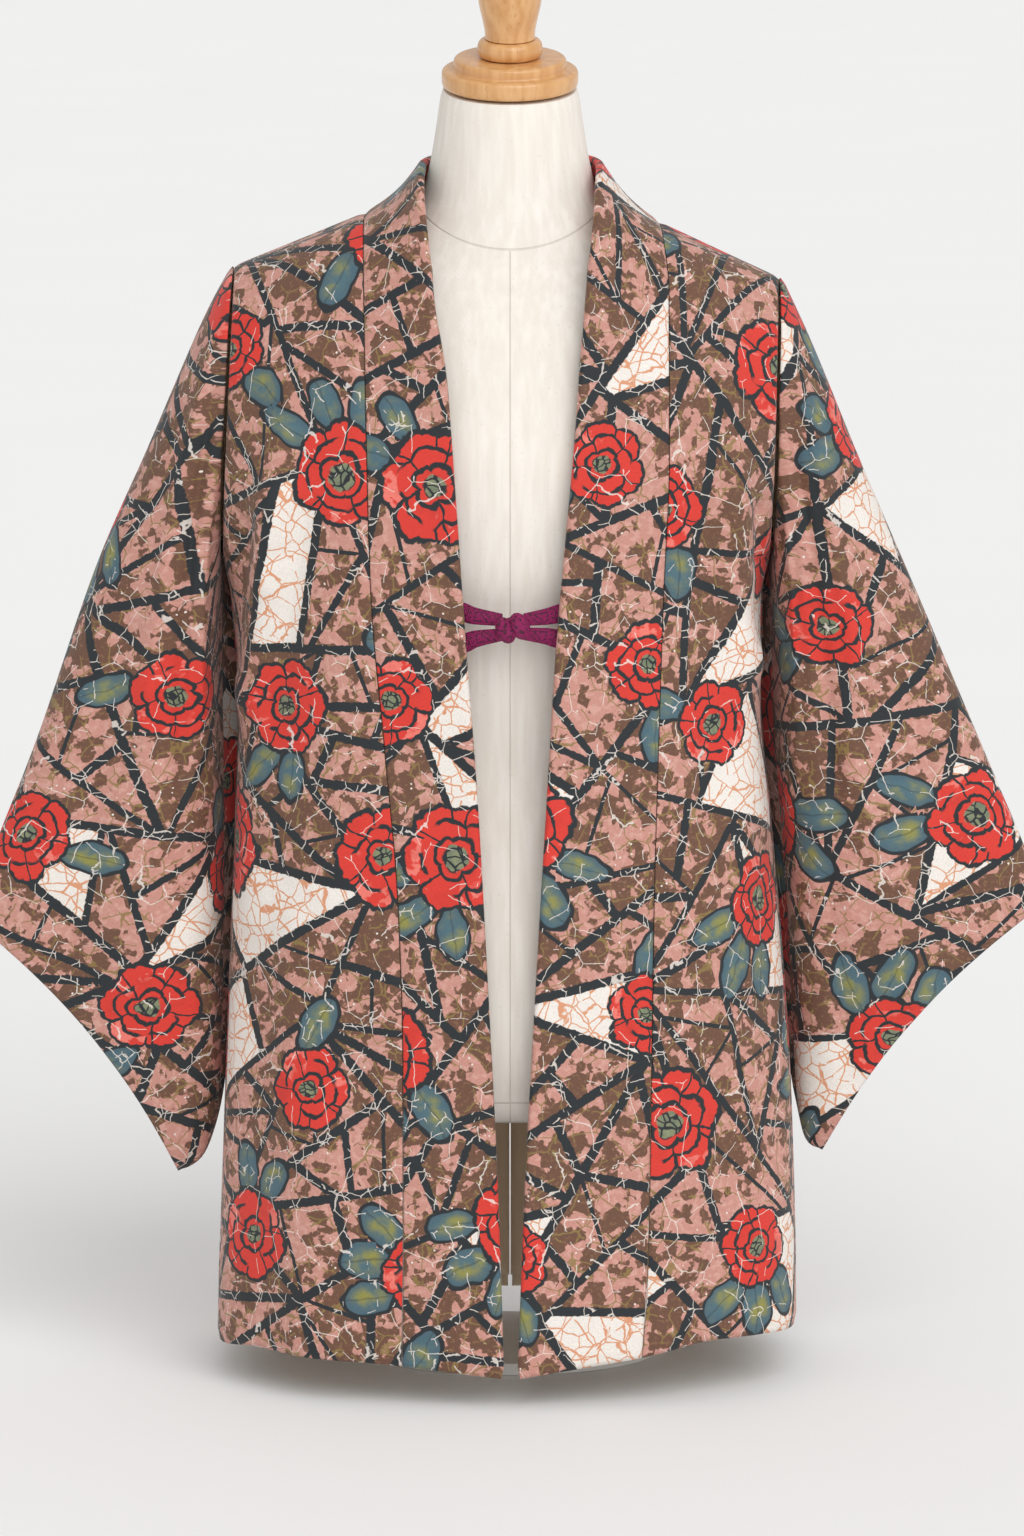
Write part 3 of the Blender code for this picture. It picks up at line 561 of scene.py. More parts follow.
def across_at(side, face, up, x_wanted):
    """The angle across a row at which the panel reaches a distance from the middle."""
    low, high = 0.0, math.pi / 2
    for _ in range(HALVINGS):
        middle = 0.5 * (low + high)
        if abs(panel_point(side, face, middle, up).x) < x_wanted:
            low = middle
        else:
            high = middle
    return 0.5 * (low + high)


def even_row(side, face, inner, outer):
    """Points of a panel at even spacing between two (across, up) ends."""
    dense = []
    for step in range(ROW_SAMPLES + 1):
        t = step / ROW_SAMPLES
        dense.append(panel_point(side, face, inner[0] + (outer[0] - inner[0]) * t,
                                 inner[1] + (outer[1] - inner[1]) * t))
    return resample(dense, edged_shares(PANEL_COLUMNS))


def lower_ups():
    """Rows from the hem up to just under the underarm, closer together at the hem."""
    return [-1.0 + share for share in list(EDGE_STEPS) + [k / LOWER_ROWS for k in range(2, LOWER_ROWS)]]


def front_rows(side):
    """Rows of the front from the hem up to the shoulder line, each from the collar's seam outward."""
    ups = lower_ups() + [math.pi / 2 * k / FRONT_UPPER_ROWS for k in range(FRONT_UPPER_ROWS + 1)]
    rows = []
    for up in ups:
        guess = panel_point(side, "front", COLLAR_GUESS, up)
        start = across_at(side, "front", up, between(COLLAR_SEAM, "z", min(guess.z, NECK_POINT_Z), side))
        rows.append(even_row(side, "front", (start, up), (math.pi / 2, up)))
    return rows


def neckline(side, share):
    """The (across, up) of the back neckline, from the nape (0) to the shoulder line (1)."""
    at_shoulder = across_at(side, "back", math.pi / 2, between(COLLAR_SEAM, "z", NECK_POINT_Z, side))
    turn = math.pi / 2 * share
    drop = math.radians(NAPE_DROP_DEG)
    return at_shoulder * math.sin(turn), math.pi / 2 - drop * math.cos(turn)


def back_rows(side):
    """Rows of the back from the hem up to the shoulder line, each from the centre seam outward."""
    nape = neckline(side, 0.0)[1]
    ups = lower_ups() + [nape * k / BACK_UPPER_ROWS for k in range(BACK_UPPER_ROWS)]
    rows = [even_row(side, "back", (CENTRE_ACROSS, up), (math.pi / 2, up)) for up in ups]
    for k in range(NECKLINE_ROWS):
        share = k / NECKLINE_ROWS
        across, up = neckline(side, share)
        outer_up = nape + (math.pi / 2 - nape) * share
        rows.append(even_row(side, "back", (max(across, CENTRE_ACROSS), up), (math.pi / 2, outer_up)))
    for row in rows:
        for point in row:
            if abs(point.x) < SEAM_GAP:
                point.x = SIGN[side] * SEAM_GAP
    return rows


def sleeve_ring(side, outer, inner, half_depth, middle_y, pull, down):
    """A closed ring of the sleeve between its outer fold and its inner fold.

    pull draws the middle of the ring up the sleeve, which hollows the cuff's edge. Beside the body the
    cloth behind the inner fold tucks in a little.
    """
    upward = Vector((inner.z - outer.z, 0.0, outer.x - inner.x)).normalized() * pull
    tuck_here = between(SLEEVE_TUCKS, "share", down, side)
    ring = []
    for k in range(SLEEVE_SIDES):
        angle = 2.0 * math.pi * k / SLEEVE_SIDES
        up = 0.5 * (1.0 - math.cos(angle))
        at = inner.lerp(outer, up) + upward * math.sin(angle) ** 2
        face = "front" if angle < math.pi else "back"
        swell = min(abs(math.sin(angle)) * FOLD_CLEARANCE, 1.0) * min(down / ARMHOLE_CLEARANCE, 1.0)
        lift = swell * crease_lift(SLEEVE_CREASES[side, face], down, up)
        y = half_depth * abs(math.sin(angle)) ** SLEEVE_BULGE + lift
        from_fold = (angle + math.pi) % (2.0 * math.pi) - math.pi
        tuck = tuck_here * math.exp(-((from_fold - SLEEVE_TUCK_AT) / SLEEVE_TUCK_SPREAD) ** 2)
        ring.append(Vector((SIGN[side] * (at.x - tuck), middle_y - math.copysign(y, math.sin(angle)), at.z)))
    return ring


def sleeve_rings(side):
    """Rings of the sleeve from the armhole down to the cuff."""
    shares = edged_shares(SLEEVE_RINGS)
    outer, inner = (resample(smooth_curve([Vector((p.x, 0.0, p.z)) for p in line]), shares)
                    for line in SLEEVE_FOLDS[side])
    rings = []
    for share, outer_point, inner_point in zip(shares, outer, inner):
        half_depth = between(SLEEVE_DEPTHS, "share", share, "half_depth")
        middle_y = between(SLEEVE_DEPTHS, "share", share, "middle_y")
        pull = CUFF_HOLLOW * max(0.0, (share - CUFF_HOLLOW_FROM) / (1.0 - CUFF_HOLLOW_FROM)) ** 2
        rings.append(sleeve_ring(side, outer_point, inner_point, half_depth, middle_y, pull, share))
    return rings


def collar_stations(side, rows):
    """Stations from the front hem to the centre back: seam point, inner edge, share turned inside."""
    sign = SIGN[side]
    seam = [row[0].copy() for row in rows]
    low = len([p for p in seam if p.z <= UNDERARM_Z + 1e-6])
    lengths = [0.0]
    for a, b in zip(seam, seam[1:]):
        lengths.append(lengths[-1] + (b - a).length)
    edge_line = smooth_curve([Vector((sign * getattr(e, side), e.y, e.z)) for e in COLLAR_EDGE])
    split = min(range(len(edge_line)), key=lambda i: abs(edge_line[i].z - UNDERARM_Z - 0.006))
    edge = resample(edge_line[:split + 1], [v / lengths[low - 1] for v in lengths[:low]])
    rest = lengths[-1] - lengths[low - 1]
    edge += resample(edge_line[split:], [(v - lengths[low - 1]) / rest for v in lengths[low - 1:]])[1:]
    stations = []
    for a, b in zip(seam, edge):
        stations.append((a, b, min(max((b.z - COLLAR_TURN_IN_Z) / COLLAR_TURN_IN_RISE, 0.0), 1.0)))
    for k in range(1, NECKLINE_ROWS + 1):
        share = k / NECKLINE_ROWS
        across, up = neckline(side, 1.0 - share)
        a = panel_point(side, "back", max(across, CENTRE_ACROSS), up)
        turn = math.pi / 2 * share
        b = Vector((sign * getattr(COLLAR_EDGE[-1], side) * math.cos(turn), NAPE_EDGE_Y * math.sin(turn),
                    COLLAR_EDGE[-1].z + NAPE_EDGE_RISE * share))
        if k == NECKLINE_ROWS:
            a.x = sign * SEAM_GAP
            b.x = sign * SEAM_GAP
        stations.append((a, b, 1.0))
    return stations


def collar_profile(seam_point, edge, turned, onward):
    """Points across the collar band, from the seam over the rolled inner edge to the leaf turned inside."""
    run = edge - seam_point
    start = seam_point + run.normalized() * COLLAR_SETBACK
    run = edge - start
    along = run.normalized()
    inward = onward.cross(along).normalized()
    if inward.dot(Vector((-edge.x, 0.010 - edge.y, -0.02))) < 0.0:
        inward.negate()
    base = edge - along * COLLAR_ROLL
    reach = base - start
    hollow = inward * (COLLAR_HOLLOW * turned)
    shares = [0.0, 0.02, 0.045] + [k / 14 for k in range(1, 15)]
    points = [start + reach * t + hollow * math.sin(math.pi * t) for t in shares]
    turn = math.radians(COLLAR_TURN_DEG[0] + COLLAR_TURN_DEG[1] * turned)
    for k in range(1, 8):
        bend = turn * k / 7
        rise = along * math.sin(bend) + inward * (1.0 - math.cos(bend))
        points.append(base + rise * COLLAR_ROLL)
    leaf = along * math.cos(turn) + inward * math.sin(turn)
    length = COLLAR_LEAF[0] + COLLAR_LEAF[1] * turned
    rim = points[-1]
    for k in range(1, 6):
        points.append(rim + leaf * (length * k / 5))
    return points


def collar_rows(side, rows):
    """Rows across the collar band, from the front hem up and round to the centre back."""
    stations = collar_stations(side, rows)
    grid = []
    for k, (seam_point, edge, turned) in enumerate(stations):
        before = stations[max(k - 2, 0)]
        after = stations[min(k + 2, len(stations) - 1)]
        onward = after[0] - before[0] + after[1] - before[1]
        if k == len(stations) - 1:
            onward = Vector((-SIGN[side], 0.0, 0.0))
        grid.append(collar_profile(seam_point, edge, turned, onward))
    for point in grid[-1]:
        point.x = SIGN[side] * SEAM_GAP
    return grid


def gusset_rows(side):
    """Rows across the gusset, from the front's side edge to the back's."""
    grid = []
    for up in lower_ups() + [-0.001]:
        front = panel_point(side, "front", math.pi / 2, up)
        back = panel_point(side, "back", math.pi / 2, up)
        inset = Vector((0.0, SEAM_GAP, 0.0))
        bulge = GUSSET_BULGE * min(4.0 * math.sin(math.pi * min(max(1.0 + up, 0.0), 1.0)), 1.0)
        shares = edged_shares(GUSSET_COLUMNS)
        row = [(front + inset).lerp(back - inset, t) for t in shares]
        for t, point in zip(shares, row):
            point.x += SIGN[side] * bulge * math.sin(math.pi * t)
        grid.append(row)
    return grid


def lining_rows(side):
    """Rows of the low back's lining, from the centre seam outward, inside the printed cloth."""
    grid = []
    for k in range(LINING_ROWS + 1):
        up = LINING_LOW + LINING_HEIGHT * k / LINING_ROWS
        row = []
        for step in range(LINING_COLUMNS + 1):
            across = CENTRE_ACROSS + (math.pi / 2 - LINING_SHORT_OF_SIDE) * step / LINING_COLUMNS
            point = panel_point(side, "back", across, up)
            inward = Vector((point.x / 0.19 ** 2, point.y / 0.13 ** 2, 0.0)).normalized()
            point -= inward * (CLOTH_WALL + LINING_GAP)
            if step == 0:
                point.x = SIGN[side] * SEAM_GAP
            row.append(point)
        grid.append(row)
    return grid


# ================================================================ cloth meshes on their flat cut
def to_array(grid):
    return np.array([[tuple(point) for point in row] for row in grid])


def flat_cut(points, anchor_row=0, anchor_column=0):
    """Where each point of the grid lies on the flat cloth, in metres from the anchors."""
    across = np.linalg.norm(np.diff(points, axis=1), axis=2)
    across = np.concatenate([np.zeros((len(points), 1)), np.cumsum(across, axis=1)], axis=1)
    across -= across[:, anchor_column:anchor_column + 1]
    along = np.linalg.norm(np.diff(points, axis=0), axis=2).mean(axis=1)
    along = np.concatenate([[0.0], np.cumsum(along)])
    along -= along[anchor_row]
    return np.stack([across, np.broadcast_to(along[:, None], across.shape)], axis=2)


def eased_cut(points, cut):
    """The cut eased until each small patch keeps the size and the squareness that it has when worn."""
    across = points[:, 1:] - points[:, :-1]
    along = points[1:] - points[:-1]
    across = 0.5 * (across[1:] + across[:-1])
    along = 0.5 * (along[:, 1:] + along[:, :-1])
    width = np.maximum(np.linalg.norm(across, axis=2), 1e-9)
    slant = np.einsum("ijk,ijk->ij", across, along) / width
    height = np.sqrt(np.maximum(np.einsum("ijk,ijk->ij", along, along) - slant ** 2, 0.0))
    patch_across, patch_along = width + 0j, slant + 1j * height
    flat = cut[..., 0] + 1j * cut[..., 1]
    rows, columns = flat.shape
    stiffness = ((2.0 - 2.0 * np.cos(np.pi * np.arange(2 * rows) / rows))[:, None]
                 + (2.0 - 2.0 * np.cos(np.pi * np.arange(2 * columns) / columns))[None, :])
    stiffness[0, 0] = 1.0
    for _ in range(EASING_ROUNDS):
        flat_across, flat_along = np.diff(flat, axis=1), np.diff(flat, axis=0)
        turn = (0.5 * (flat_across[1:] + flat_across[:-1]) * np.conj(patch_across)
                + 0.5 * (flat_along[:, 1:] + flat_along[:, :-1]) * np.conj(patch_along))
        turn /= np.maximum(np.abs(turn), 1e-12)
        want_across, want_along = turn * patch_across, turn * patch_along
        want_across = 0.5 * (np.concatenate([want_across[:1], want_across])
                             + np.concatenate([want_across, want_across[-1:]]))
        want_along = 0.5 * (np.concatenate([want_along[:, :1], want_along], axis=1)
                            + np.concatenate([want_along, want_along[:, -1:]], axis=1))
        pull = np.zeros_like(flat)
        pull[:, 1:] += want_across
        pull[:, :-1] -= want_across
        pull[1:] += want_along
        pull[:-1] -= want_along
        pull = np.concatenate([pull, pull[::-1]])
        pull = np.concatenate([pull, pull[:, ::-1]], axis=1)
        pull = np.fft.fft2(pull) / stiffness
        pull[0, 0] = 0.0
        flat = np.fft.ifft2(pull)[:rows, :columns]
    return as_pairs(flat - flat[0, 0])


def sleeve_cut(rings):
    """The sleeve laid flat: its front as it hangs, and its back unfolded about the outer fold."""
    outer = SLEEVE_SIDES // 2
    front = rings[:, :outer + 1]
    back = np.concatenate([rings[:, :1], rings[:, :outer - 1:-1]], axis=1)
    halves = []
    for half in (front, back):
        steps = np.diff(half, axis=1)
        level = np.hypot(steps[..., 0], steps[..., 1])
        level = np.concatenate([np.abs(half[:, :1, 0]), level], axis=1)
        halves.append(np.cumsum(level, axis=1) + 1j * half[..., 2])
    fold = halves[0][-1, -1] - halves[0][0, -1]
    fold /= abs(fold)
    unfolded = halves[0][0, -1] + np.conj((halves[1] - halves[0][0, -1]) / fold) * fold
    unfolded += (halves[0][:, -1] - unfolded[:, -1])[:, None]
    flat = np.concatenate([halves[0], unfolded[:, -2::-1]], axis=1)
    return as_pairs(flat)


def grid_normals(points, ring=False):
    """Unit normals of the grid, which the caller points outward."""
    if ring:
        turn_across = np.roll(points, -1, axis=1) - np.roll(points, 1, axis=1)
    else:
        turn_across = np.gradient(points, axis=1)
    normals = np.cross(np.gradient(points, axis=0), turn_across)
    return normals / np.maximum(np.linalg.norm(normals, axis=2, keepdims=True), 1e-12)


def dip(points, normals, distance, depth, width):
    """Sinks the grid towards its wrong side near an edge, by the distance from that edge."""
    return points - normals * (depth * np.exp(-(distance / width) ** 2))[:, :, None]


def edge_distances(points):
    """Distance of each grid point from the first column, last column, first row and last row."""
    across = np.linalg.norm(np.diff(points, axis=1), axis=2)
    across = np.concatenate([np.zeros((len(points), 1)), np.cumsum(across, axis=1)], axis=1)
    along = np.linalg.norm(np.diff(points, axis=0), axis=2)
    along = np.concatenate([np.zeros((1, points.shape[1])), np.cumsum(along, axis=0)], axis=0)
    return across, across[:, -1:] - across, along, along[-1:] - along


def finish_edges(points, outward, seams, hems, ring=False):
    """Sinks the seams into fine valleys and turns the hems' edges under.

    seams and hems name edges: 0 first column, 1 last column, 2 first row, 3 last row.
    """
    normals = grid_normals(points, ring) * outward
    distances = edge_distances(points)
    for edge in seams:
        points = dip(points, normals, distances[edge], SEAM_DIP, SEAM_DIP_WIDTH)
    for edge in hems:
        points = dip(points, normals, distances[edge], HEM_TURN, HEM_TURN_WIDTH)
    return points


def cloth_mesh(name, points, cut, materials, thick, outward, ring=False):
    """A cloth piece from its grid, with its flat cut as a UV map and its wrong side in the second finish."""
    rows, columns = points.shape[:2]
    count = columns if ring else columns - 1
    row, column = np.meshgrid(np.arange(rows - 1), np.arange(count), indexing="ij")
    after = (column + 1) % columns
    faces = np.stack([row * columns + column, row * columns + after,
                      (row + 1) * columns + after, (row + 1) * columns + column], axis=-1).reshape(-1, 4)
    corners = np.stack([cut[row, column], cut[row, column + 1],
                        cut[row + 1, column + 1], cut[row + 1, column]], axis=2).reshape(-1, 4, 2)
    if outward > 0:
        faces = faces[:, ::-1]
        corners = corners[:, ::-1]
    mesh = bpy.data.meshes.new(name)
    mesh.from_pydata(points.reshape(-1, 3).tolist(), [], faces.tolist())
    for material in materials:
        mesh.materials.append(material)
    mesh.shade_smooth()
    piece = put_in_scene(name, mesh)
    wall = piece.modifiers.new("cloth thickness", "SOLIDIFY")
    wall.thickness = thick
    wall.offset = -1.0
    wall.use_quality_normals = True
    wall.material_offset = len(materials) - 1
    write_map(mesh, "cloth", corners)
    return piece, corners


def write_map(mesh, name, corners):
    """Adds a map to the mesh with a pair of values for each corner of each face."""
    layer = mesh.uv_layers.new(name=name)
    layer.data.foreach_set("uv", corners.astype(np.float32).ravel())


# ================================================================ the print, drawn on the flat cloth
Print = namedtuple("Print", "white_facets bars flowers leaves")
Bar = namedtuple("Bar", "start end half_width")


def facet_area(facet):
    return 0.5 * abs(sum((a.conjugate() * b).imag for a, b in zip(facet, facet[1:] + facet[:1])))


def cut_facet(facet, at, direction):
    """The two facets on either side of a straight cut, and the cut's ends."""
    sides = [((p - at) * direction.conjugate()).imag for p in facet]
    left, right, ends = [], [], []
    for k, p in enumerate(facet):
        n = (k + 1) % len(facet)
        (left if sides[k] >= 0 else right).append(p)
        if (sides[k] >= 0) != (sides[n] >= 0):
            crossing = p + (facet[n] - p) * (sides[k] / (sides[k] - sides[n]))
            left.append(crossing)
            right.append(crossing)
            ends.append(crossing)
    return left, right, ends


def break_up(facet, largest, rng, widths, bars):
    """Breaks a facet into shards no larger than asked, each cut a bar of the network.

    A long facet is cut across; a compact one is cut straight or, as a fan, from one of its corners.
    """
    if facet_area(facet) < largest:
        return [facet]
    middle = sum(facet) / len(facet)
    longest = max(((a - b) for a in facet for b in facet), key=abs)
    slender = abs(longest) ** 2 / facet_area(facet)
    if slender < COMPACT_FACET and rng.random() < FAN_CHANCE:
        at = rng.choice(facet)
        far = [p for p in facet if p != at]
        ahead = sum(far) / len(far) + rng.uniform(-FAN_DRIFT, FAN_DRIFT) * longest - at
    else:
        at = middle + rng.uniform(-CUT_DRIFT, CUT_DRIFT) * longest
        lean = rng.uniform(-CUT_LEAN, CUT_LEAN)
        ahead = longest * complex(-math.sin(lean), math.cos(lean))
    left, right, ends = cut_facet(facet, at, ahead / abs(ahead))
    if len(ends) < 2 or min(facet_area(left), facet_area(right)) < LEAST_SHARD * facet_area(facet):
        left, right, ends = cut_facet(facet, middle, longest * complex(0.0, 1.0) / abs(longest))
    bars.append(Bar(ends[0], ends[1], rng.choice(widths)))
    return break_up(left, largest, rng, widths, bars) + break_up(right, largest, rng, widths, bars)


def contains(facet, p):
    """Whether the place lies inside the facet."""
    turns = [((b - a).conjugate() * (p - a)).imag for a, b in zip(facet, facet[1:] + facet[:1])]
    return min(turns) >= 0.0 or max(turns) <= 0.0


def lay_out_print(seed, corners):
    """Large facets, shards, bars, flowers and leaves over one piece's flat cut."""
    rng = random.Random(seed)
    low = corners.reshape(-1, 2).min(axis=0) - PRINT_MARGIN
    high = corners.reshape(-1, 2).max(axis=0) + PRINT_MARGIN
    bolt = [complex(low[0], low[1]), complex(high[0], low[1]), complex(high[0], high[1]),
            complex(low[0], high[1])]
    bars = []
    facets = break_up(bolt, LARGE_FACET, rng, (THICK_BAR, THICK_BAR, MIDDLE_BAR), bars)
    flowers, leaves, white = [], [], []
    row = 0
    v = low[1]
    while v < high[1]:
        u = low[0] + (0.25 + 0.5 * (row % 2)) * FLOWER_SPACING
        while u < high[0]:
            jitter = complex(rng.uniform(-0.022, 0.022), rng.uniform(-0.026, 0.026))
            middle = complex(u, v) + jitter
            radius = rng.uniform(*FLOWER_RADIUS)
            flowers.append((middle, radius, rng.uniform(0.0, 2.0 * math.pi)))
            turn = rng.uniform(0.0, 2.0 * math.pi)
            for k in range(rng.choice((1, 2, 2, 3))):
                heading = turn + 0.62 * k
                length = rng.uniform(*LEAF_LENGTH)
                at = middle + (radius + 0.55 * length) * complex(math.cos(heading), math.sin(heading))
                leaves.append((at, length, rng.uniform(*LEAF_WIDTH), heading + rng.uniform(-0.5, 0.5)))
            aim = middle + 0.8 * radius * complex(math.cos(turn + 2.6), math.sin(turn + 2.6))
            if rng.random() < WHITE_SHARE:
                white += [f for f in facets if contains(f, aim) and f not in white]
            u += FLOWER_SPACING
        v += FLOWER_SPACING * 0.92
        row += 1
    for facet in facets:
        if facet not in white:
            break_up(facet, SHARD * rng.uniform(0.7, 1.4), rng,
                     (THICK_BAR, MIDDLE_BAR, THIN_BAR), bars)
    return Print(white, bars, flowers, leaves)


def as_complex(corners):
    return corners[..., 0] + 1j * corners[..., 1]


def as_pairs(values):
    return np.stack([values.real, values.imag], axis=-1)


def nearest_motif(corners, motifs, local):
    """For each face, its corners in the own coordinates of the nearest motif."""
    middles = corners.mean(axis=1)
    best = np.full(len(corners), np.inf)
    found = np.full(corners.shape, 9.0 + 0.0j)
    for motif in motifs:
        distance = np.abs(local(middles, motif))
        nearer = distance < best
        best[nearer] = distance[nearer]
        found[nearer] = local(corners[nearer], motif)
    return found


def flower_local(points, flower):
    middle, radius, turn = flower
    return (points - middle) / radius * np.exp(-1j * turn)


def leaf_local(points, leaf):
    middle, length, width, heading = leaf
    turned = (points - middle) * np.exp(-1j * heading)
    return turned.real / length + 1j * turned.imag / width


def bar_maps(corners, bars):
    """For each face, its corners against its two nearest bars: (offset in half widths, place along)."""
    middles = corners.mean(axis=1)
    starts = np.array([bar.start for bar in bars])
    runs = np.array([bar.end for bar in bars]) - starts
    halves = np.array([bar.half_width for bar in bars])
    first = np.zeros(len(corners), int)
    second = np.zeros(len(corners), int)
    block = 4000
    for k in range(0, len(corners), block):
        offset = middles[k:k + block, None] - starts[None]
        along = np.clip((offset * runs.conj()[None]).real / np.abs(runs)[None] ** 2, 0.0, 1.0)
        reach = np.abs(offset - along * runs[None]) - halves[None]
        order = np.argpartition(reach, 1, axis=1)[:, :2]
        first[k:k + block] = order[:, 0]
        second[k:k + block] = order[:, 1]
    maps = []
    for chosen in (first, second):
        run = runs[chosen][:, None]
        offset = corners - starts[chosen][:, None]
        across = (offset * run.conj()).imag / np.abs(run) / halves[chosen][:, None]
        half_run = 0.5 * np.abs(run)
        along = ((offset * run.conj()).real / np.abs(run) - half_run) / (half_run + 0.001)
        maps.append(across + 1j * along)
    return maps


def facet_depths(corners, facets):
    """How deep each corner lies inside a white facet, in centimetres, or -1 outside them all."""
    depth = np.full(corners.shape, -1.0)
    for facet in facets:
        turning = sum((a.conjugate() * b).imag for a, b in zip(facet, facet[1:] + facet[:1]))
        inside = np.full(corners.shape, np.inf)
        for a, b in zip(facet, facet[1:] + facet[:1]):
            if abs(b - a) > 1e-6:
                away = ((corners - a) * np.conj(b - a)).imag / abs(b - a) * math.copysign(1.0, turning)
                inside = np.minimum(inside, away)
        depth = np.maximum(depth, inside * 100.0)
    return np.clip(depth, -1.0, 1.0)


def draw_print(piece, corners, seed):
    """Writes where the flowers, leaves, bars and white facets lie, as maps of the piece."""
    flat = as_complex(corners)
    layout = lay_out_print(seed, corners)
    mesh = piece.data
    write_map(mesh, "flower", as_pairs(nearest_motif(flat, layout.flowers, flower_local)))
    write_map(mesh, "leaf", as_pairs(nearest_motif(flat, layout.leaves, leaf_local)))
    nearest, next_nearest = bar_maps(flat, layout.bars)
    write_map(mesh, "bar", as_pairs(nearest))
    write_map(mesh, "second_bar", as_pairs(next_nearest))
    depth = facet_depths(flat, layout.white_facets)
    write_map(mesh, "facet", np.stack([depth, np.zeros_like(depth)], axis=-1))


# ================================================================ finishes
def linear(code):
    """A display colour such as "#D63528" as the linear values that a shader takes."""
    values = [int(code[i:i + 2], 16) / 255.0 for i in (1, 3, 5)]
    return tuple(((v + 0.055) / 1.055) ** 2.4 if v > 0.04045 else v / 12.92 for v in values) + (1.0,)


class Wiring:
    """Places and links the nodes of one finish or one shared effect."""

    def __init__(self, tree):
        self.tree = tree

    def node(self, kind, inputs=None, **settings):
        made = self.tree.nodes.new(kind)
        for name, value in settings.items():
            setattr(made, name, value)
        self.fill(made, inputs or {})
        return made

    def fill(self, node, inputs):
        """Sets a node's inputs: links where a socket is given, plain values elsewhere."""
        for key, value in inputs.items():
            if isinstance(value, bpy.types.NodeSocket):
                self.tree.links.new(value, node.inputs[key])
            else:
                node.inputs[key].default_value = value

    def math(self, operation, *values):
        return self.node("ShaderNodeMath", dict(enumerate(values)), operation=operation).outputs[0]

    def times(self, first, second):
        return self.math("MULTIPLY", first, second)

    def plus(self, first, second):
        return self.math("ADD", first, second)

    def minus(self, first, second):
        return self.math("SUBTRACT", first, second)

    def times_plus(self, first, second, third):
        return self.math("MULTIPLY_ADD", first, second, third)

    def larger(self, first, second):
        return self.math("MAXIMUM", first, second)

    def size_of(self, value):
        return self.math("ABSOLUTE", value)

    def vector(self, operation, first, second=None, scale=None):
        inputs = {0: first}
        if second is not None:
            inputs[1] = second
        if scale is not None:
            inputs["Scale"] = scale
        made = self.node("ShaderNodeVectorMath", inputs, operation=operation)
        return made.outputs["Value" if operation in ("LENGTH", "DOT_PRODUCT") else "Vector"]

    def mix(self, mask, under, over):
        made = self.node("ShaderNodeMix", {0: mask, 6: under, 7: over}, data_type="RGBA")
        return made.outputs[2]

    def step(self, value, edge, softness):
        """0 below the edge and 1 above it."""
        made = self.node("ShaderNodeMapRange", {"Value": value, "From Min": edge - softness,
                                                "From Max": edge + softness}, interpolation_type="SMOOTHSTEP")
        return made.outputs["Result"]

    def below(self, value, edge, softness):
        return self.math("SUBTRACT", 1.0, self.step(value, edge, softness))

    def noise(self, at, scale, detail=2.0, output="Fac"):
        made = self.node("ShaderNodeTexNoise", {"Vector": at, "Scale": scale, "Detail": detail})
        return made.outputs[output]

    def cells(self, at, scale, feature="DISTANCE_TO_EDGE", output="Distance"):
        made = self.node("ShaderNodeTexVoronoi", {"Vector": at, "Scale": scale}, feature=feature)
        return made.outputs[output]

    def split(self, vector):
        made = self.node("ShaderNodeSeparateXYZ", {0: vector})
        return made.outputs[0], made.outputs[1], made.outputs[2]

    def unsteady(self, at, scale, reach):
        """A small random value on both sides of 0, for ragged edges."""
        return self.times(self.minus(self.noise(at, scale, 1.0), 0.5), reach)

    def wobble(self, at, scale, reach, over=None, detail=2.0):
        """The place moved a little at random, so that drawn lines look hand-made."""
        noise = self.noise(over or at, scale, detail, "Color")
        shift = self.vector("SUBTRACT", noise, (0.5, 0.5, 0.5))
        return self.vector("ADD", at, self.vector("SCALE", shift, scale=reach))

    def cloth_map(self, name):
        return self.node("ShaderNodeUVMap", uv_map=name).outputs[0]

    def dress(self, shader, color, height, strength, distance):
        """Gives the shader its colour and its raised face."""
        self.tree.links.new(color, shader.inputs["Base Color"])
        bump = self.node("ShaderNodeBump", {"Strength": strength, "Distance": distance, "Height": height})
        self.tree.links.new(bump.outputs[0], shader.inputs["Normal"])

    def own_place(self):
        return self.node("ShaderNodeTexCoord").outputs["Object"]

    def effect(self, group, inputs):
        """A shared effect with its own values; the node takes its group before they are set."""
        made = self.node("ShaderNodeGroup", node_tree=group)
        self.fill(made, inputs)
        return made.outputs

    def crackle(self, group, place, cells, width, broken):
        return self.effect(group, {"Place": place, "Cells per Metre": cells, "Line Width": width,
                                   "Broken": broken})["Lines"]


def new_effect(name, inputs, outputs):
    """An empty shared effect with its named inputs and outputs."""
    group = bpy.data.node_groups.new(name, "ShaderNodeTree")
    for socket, kind in inputs:
        group.interface.new_socket(socket, in_out="INPUT", socket_type="NodeSocket" + kind)
    for socket, kind in outputs:
        group.interface.new_socket(socket, in_out="OUTPUT", socket_type="NodeSocket" + kind)
    wiring = Wiring(group)
    taken = group.nodes.new("NodeGroupInput").outputs
    given = group.nodes.new("NodeGroupOutput").inputs
    return group, wiring, taken, given


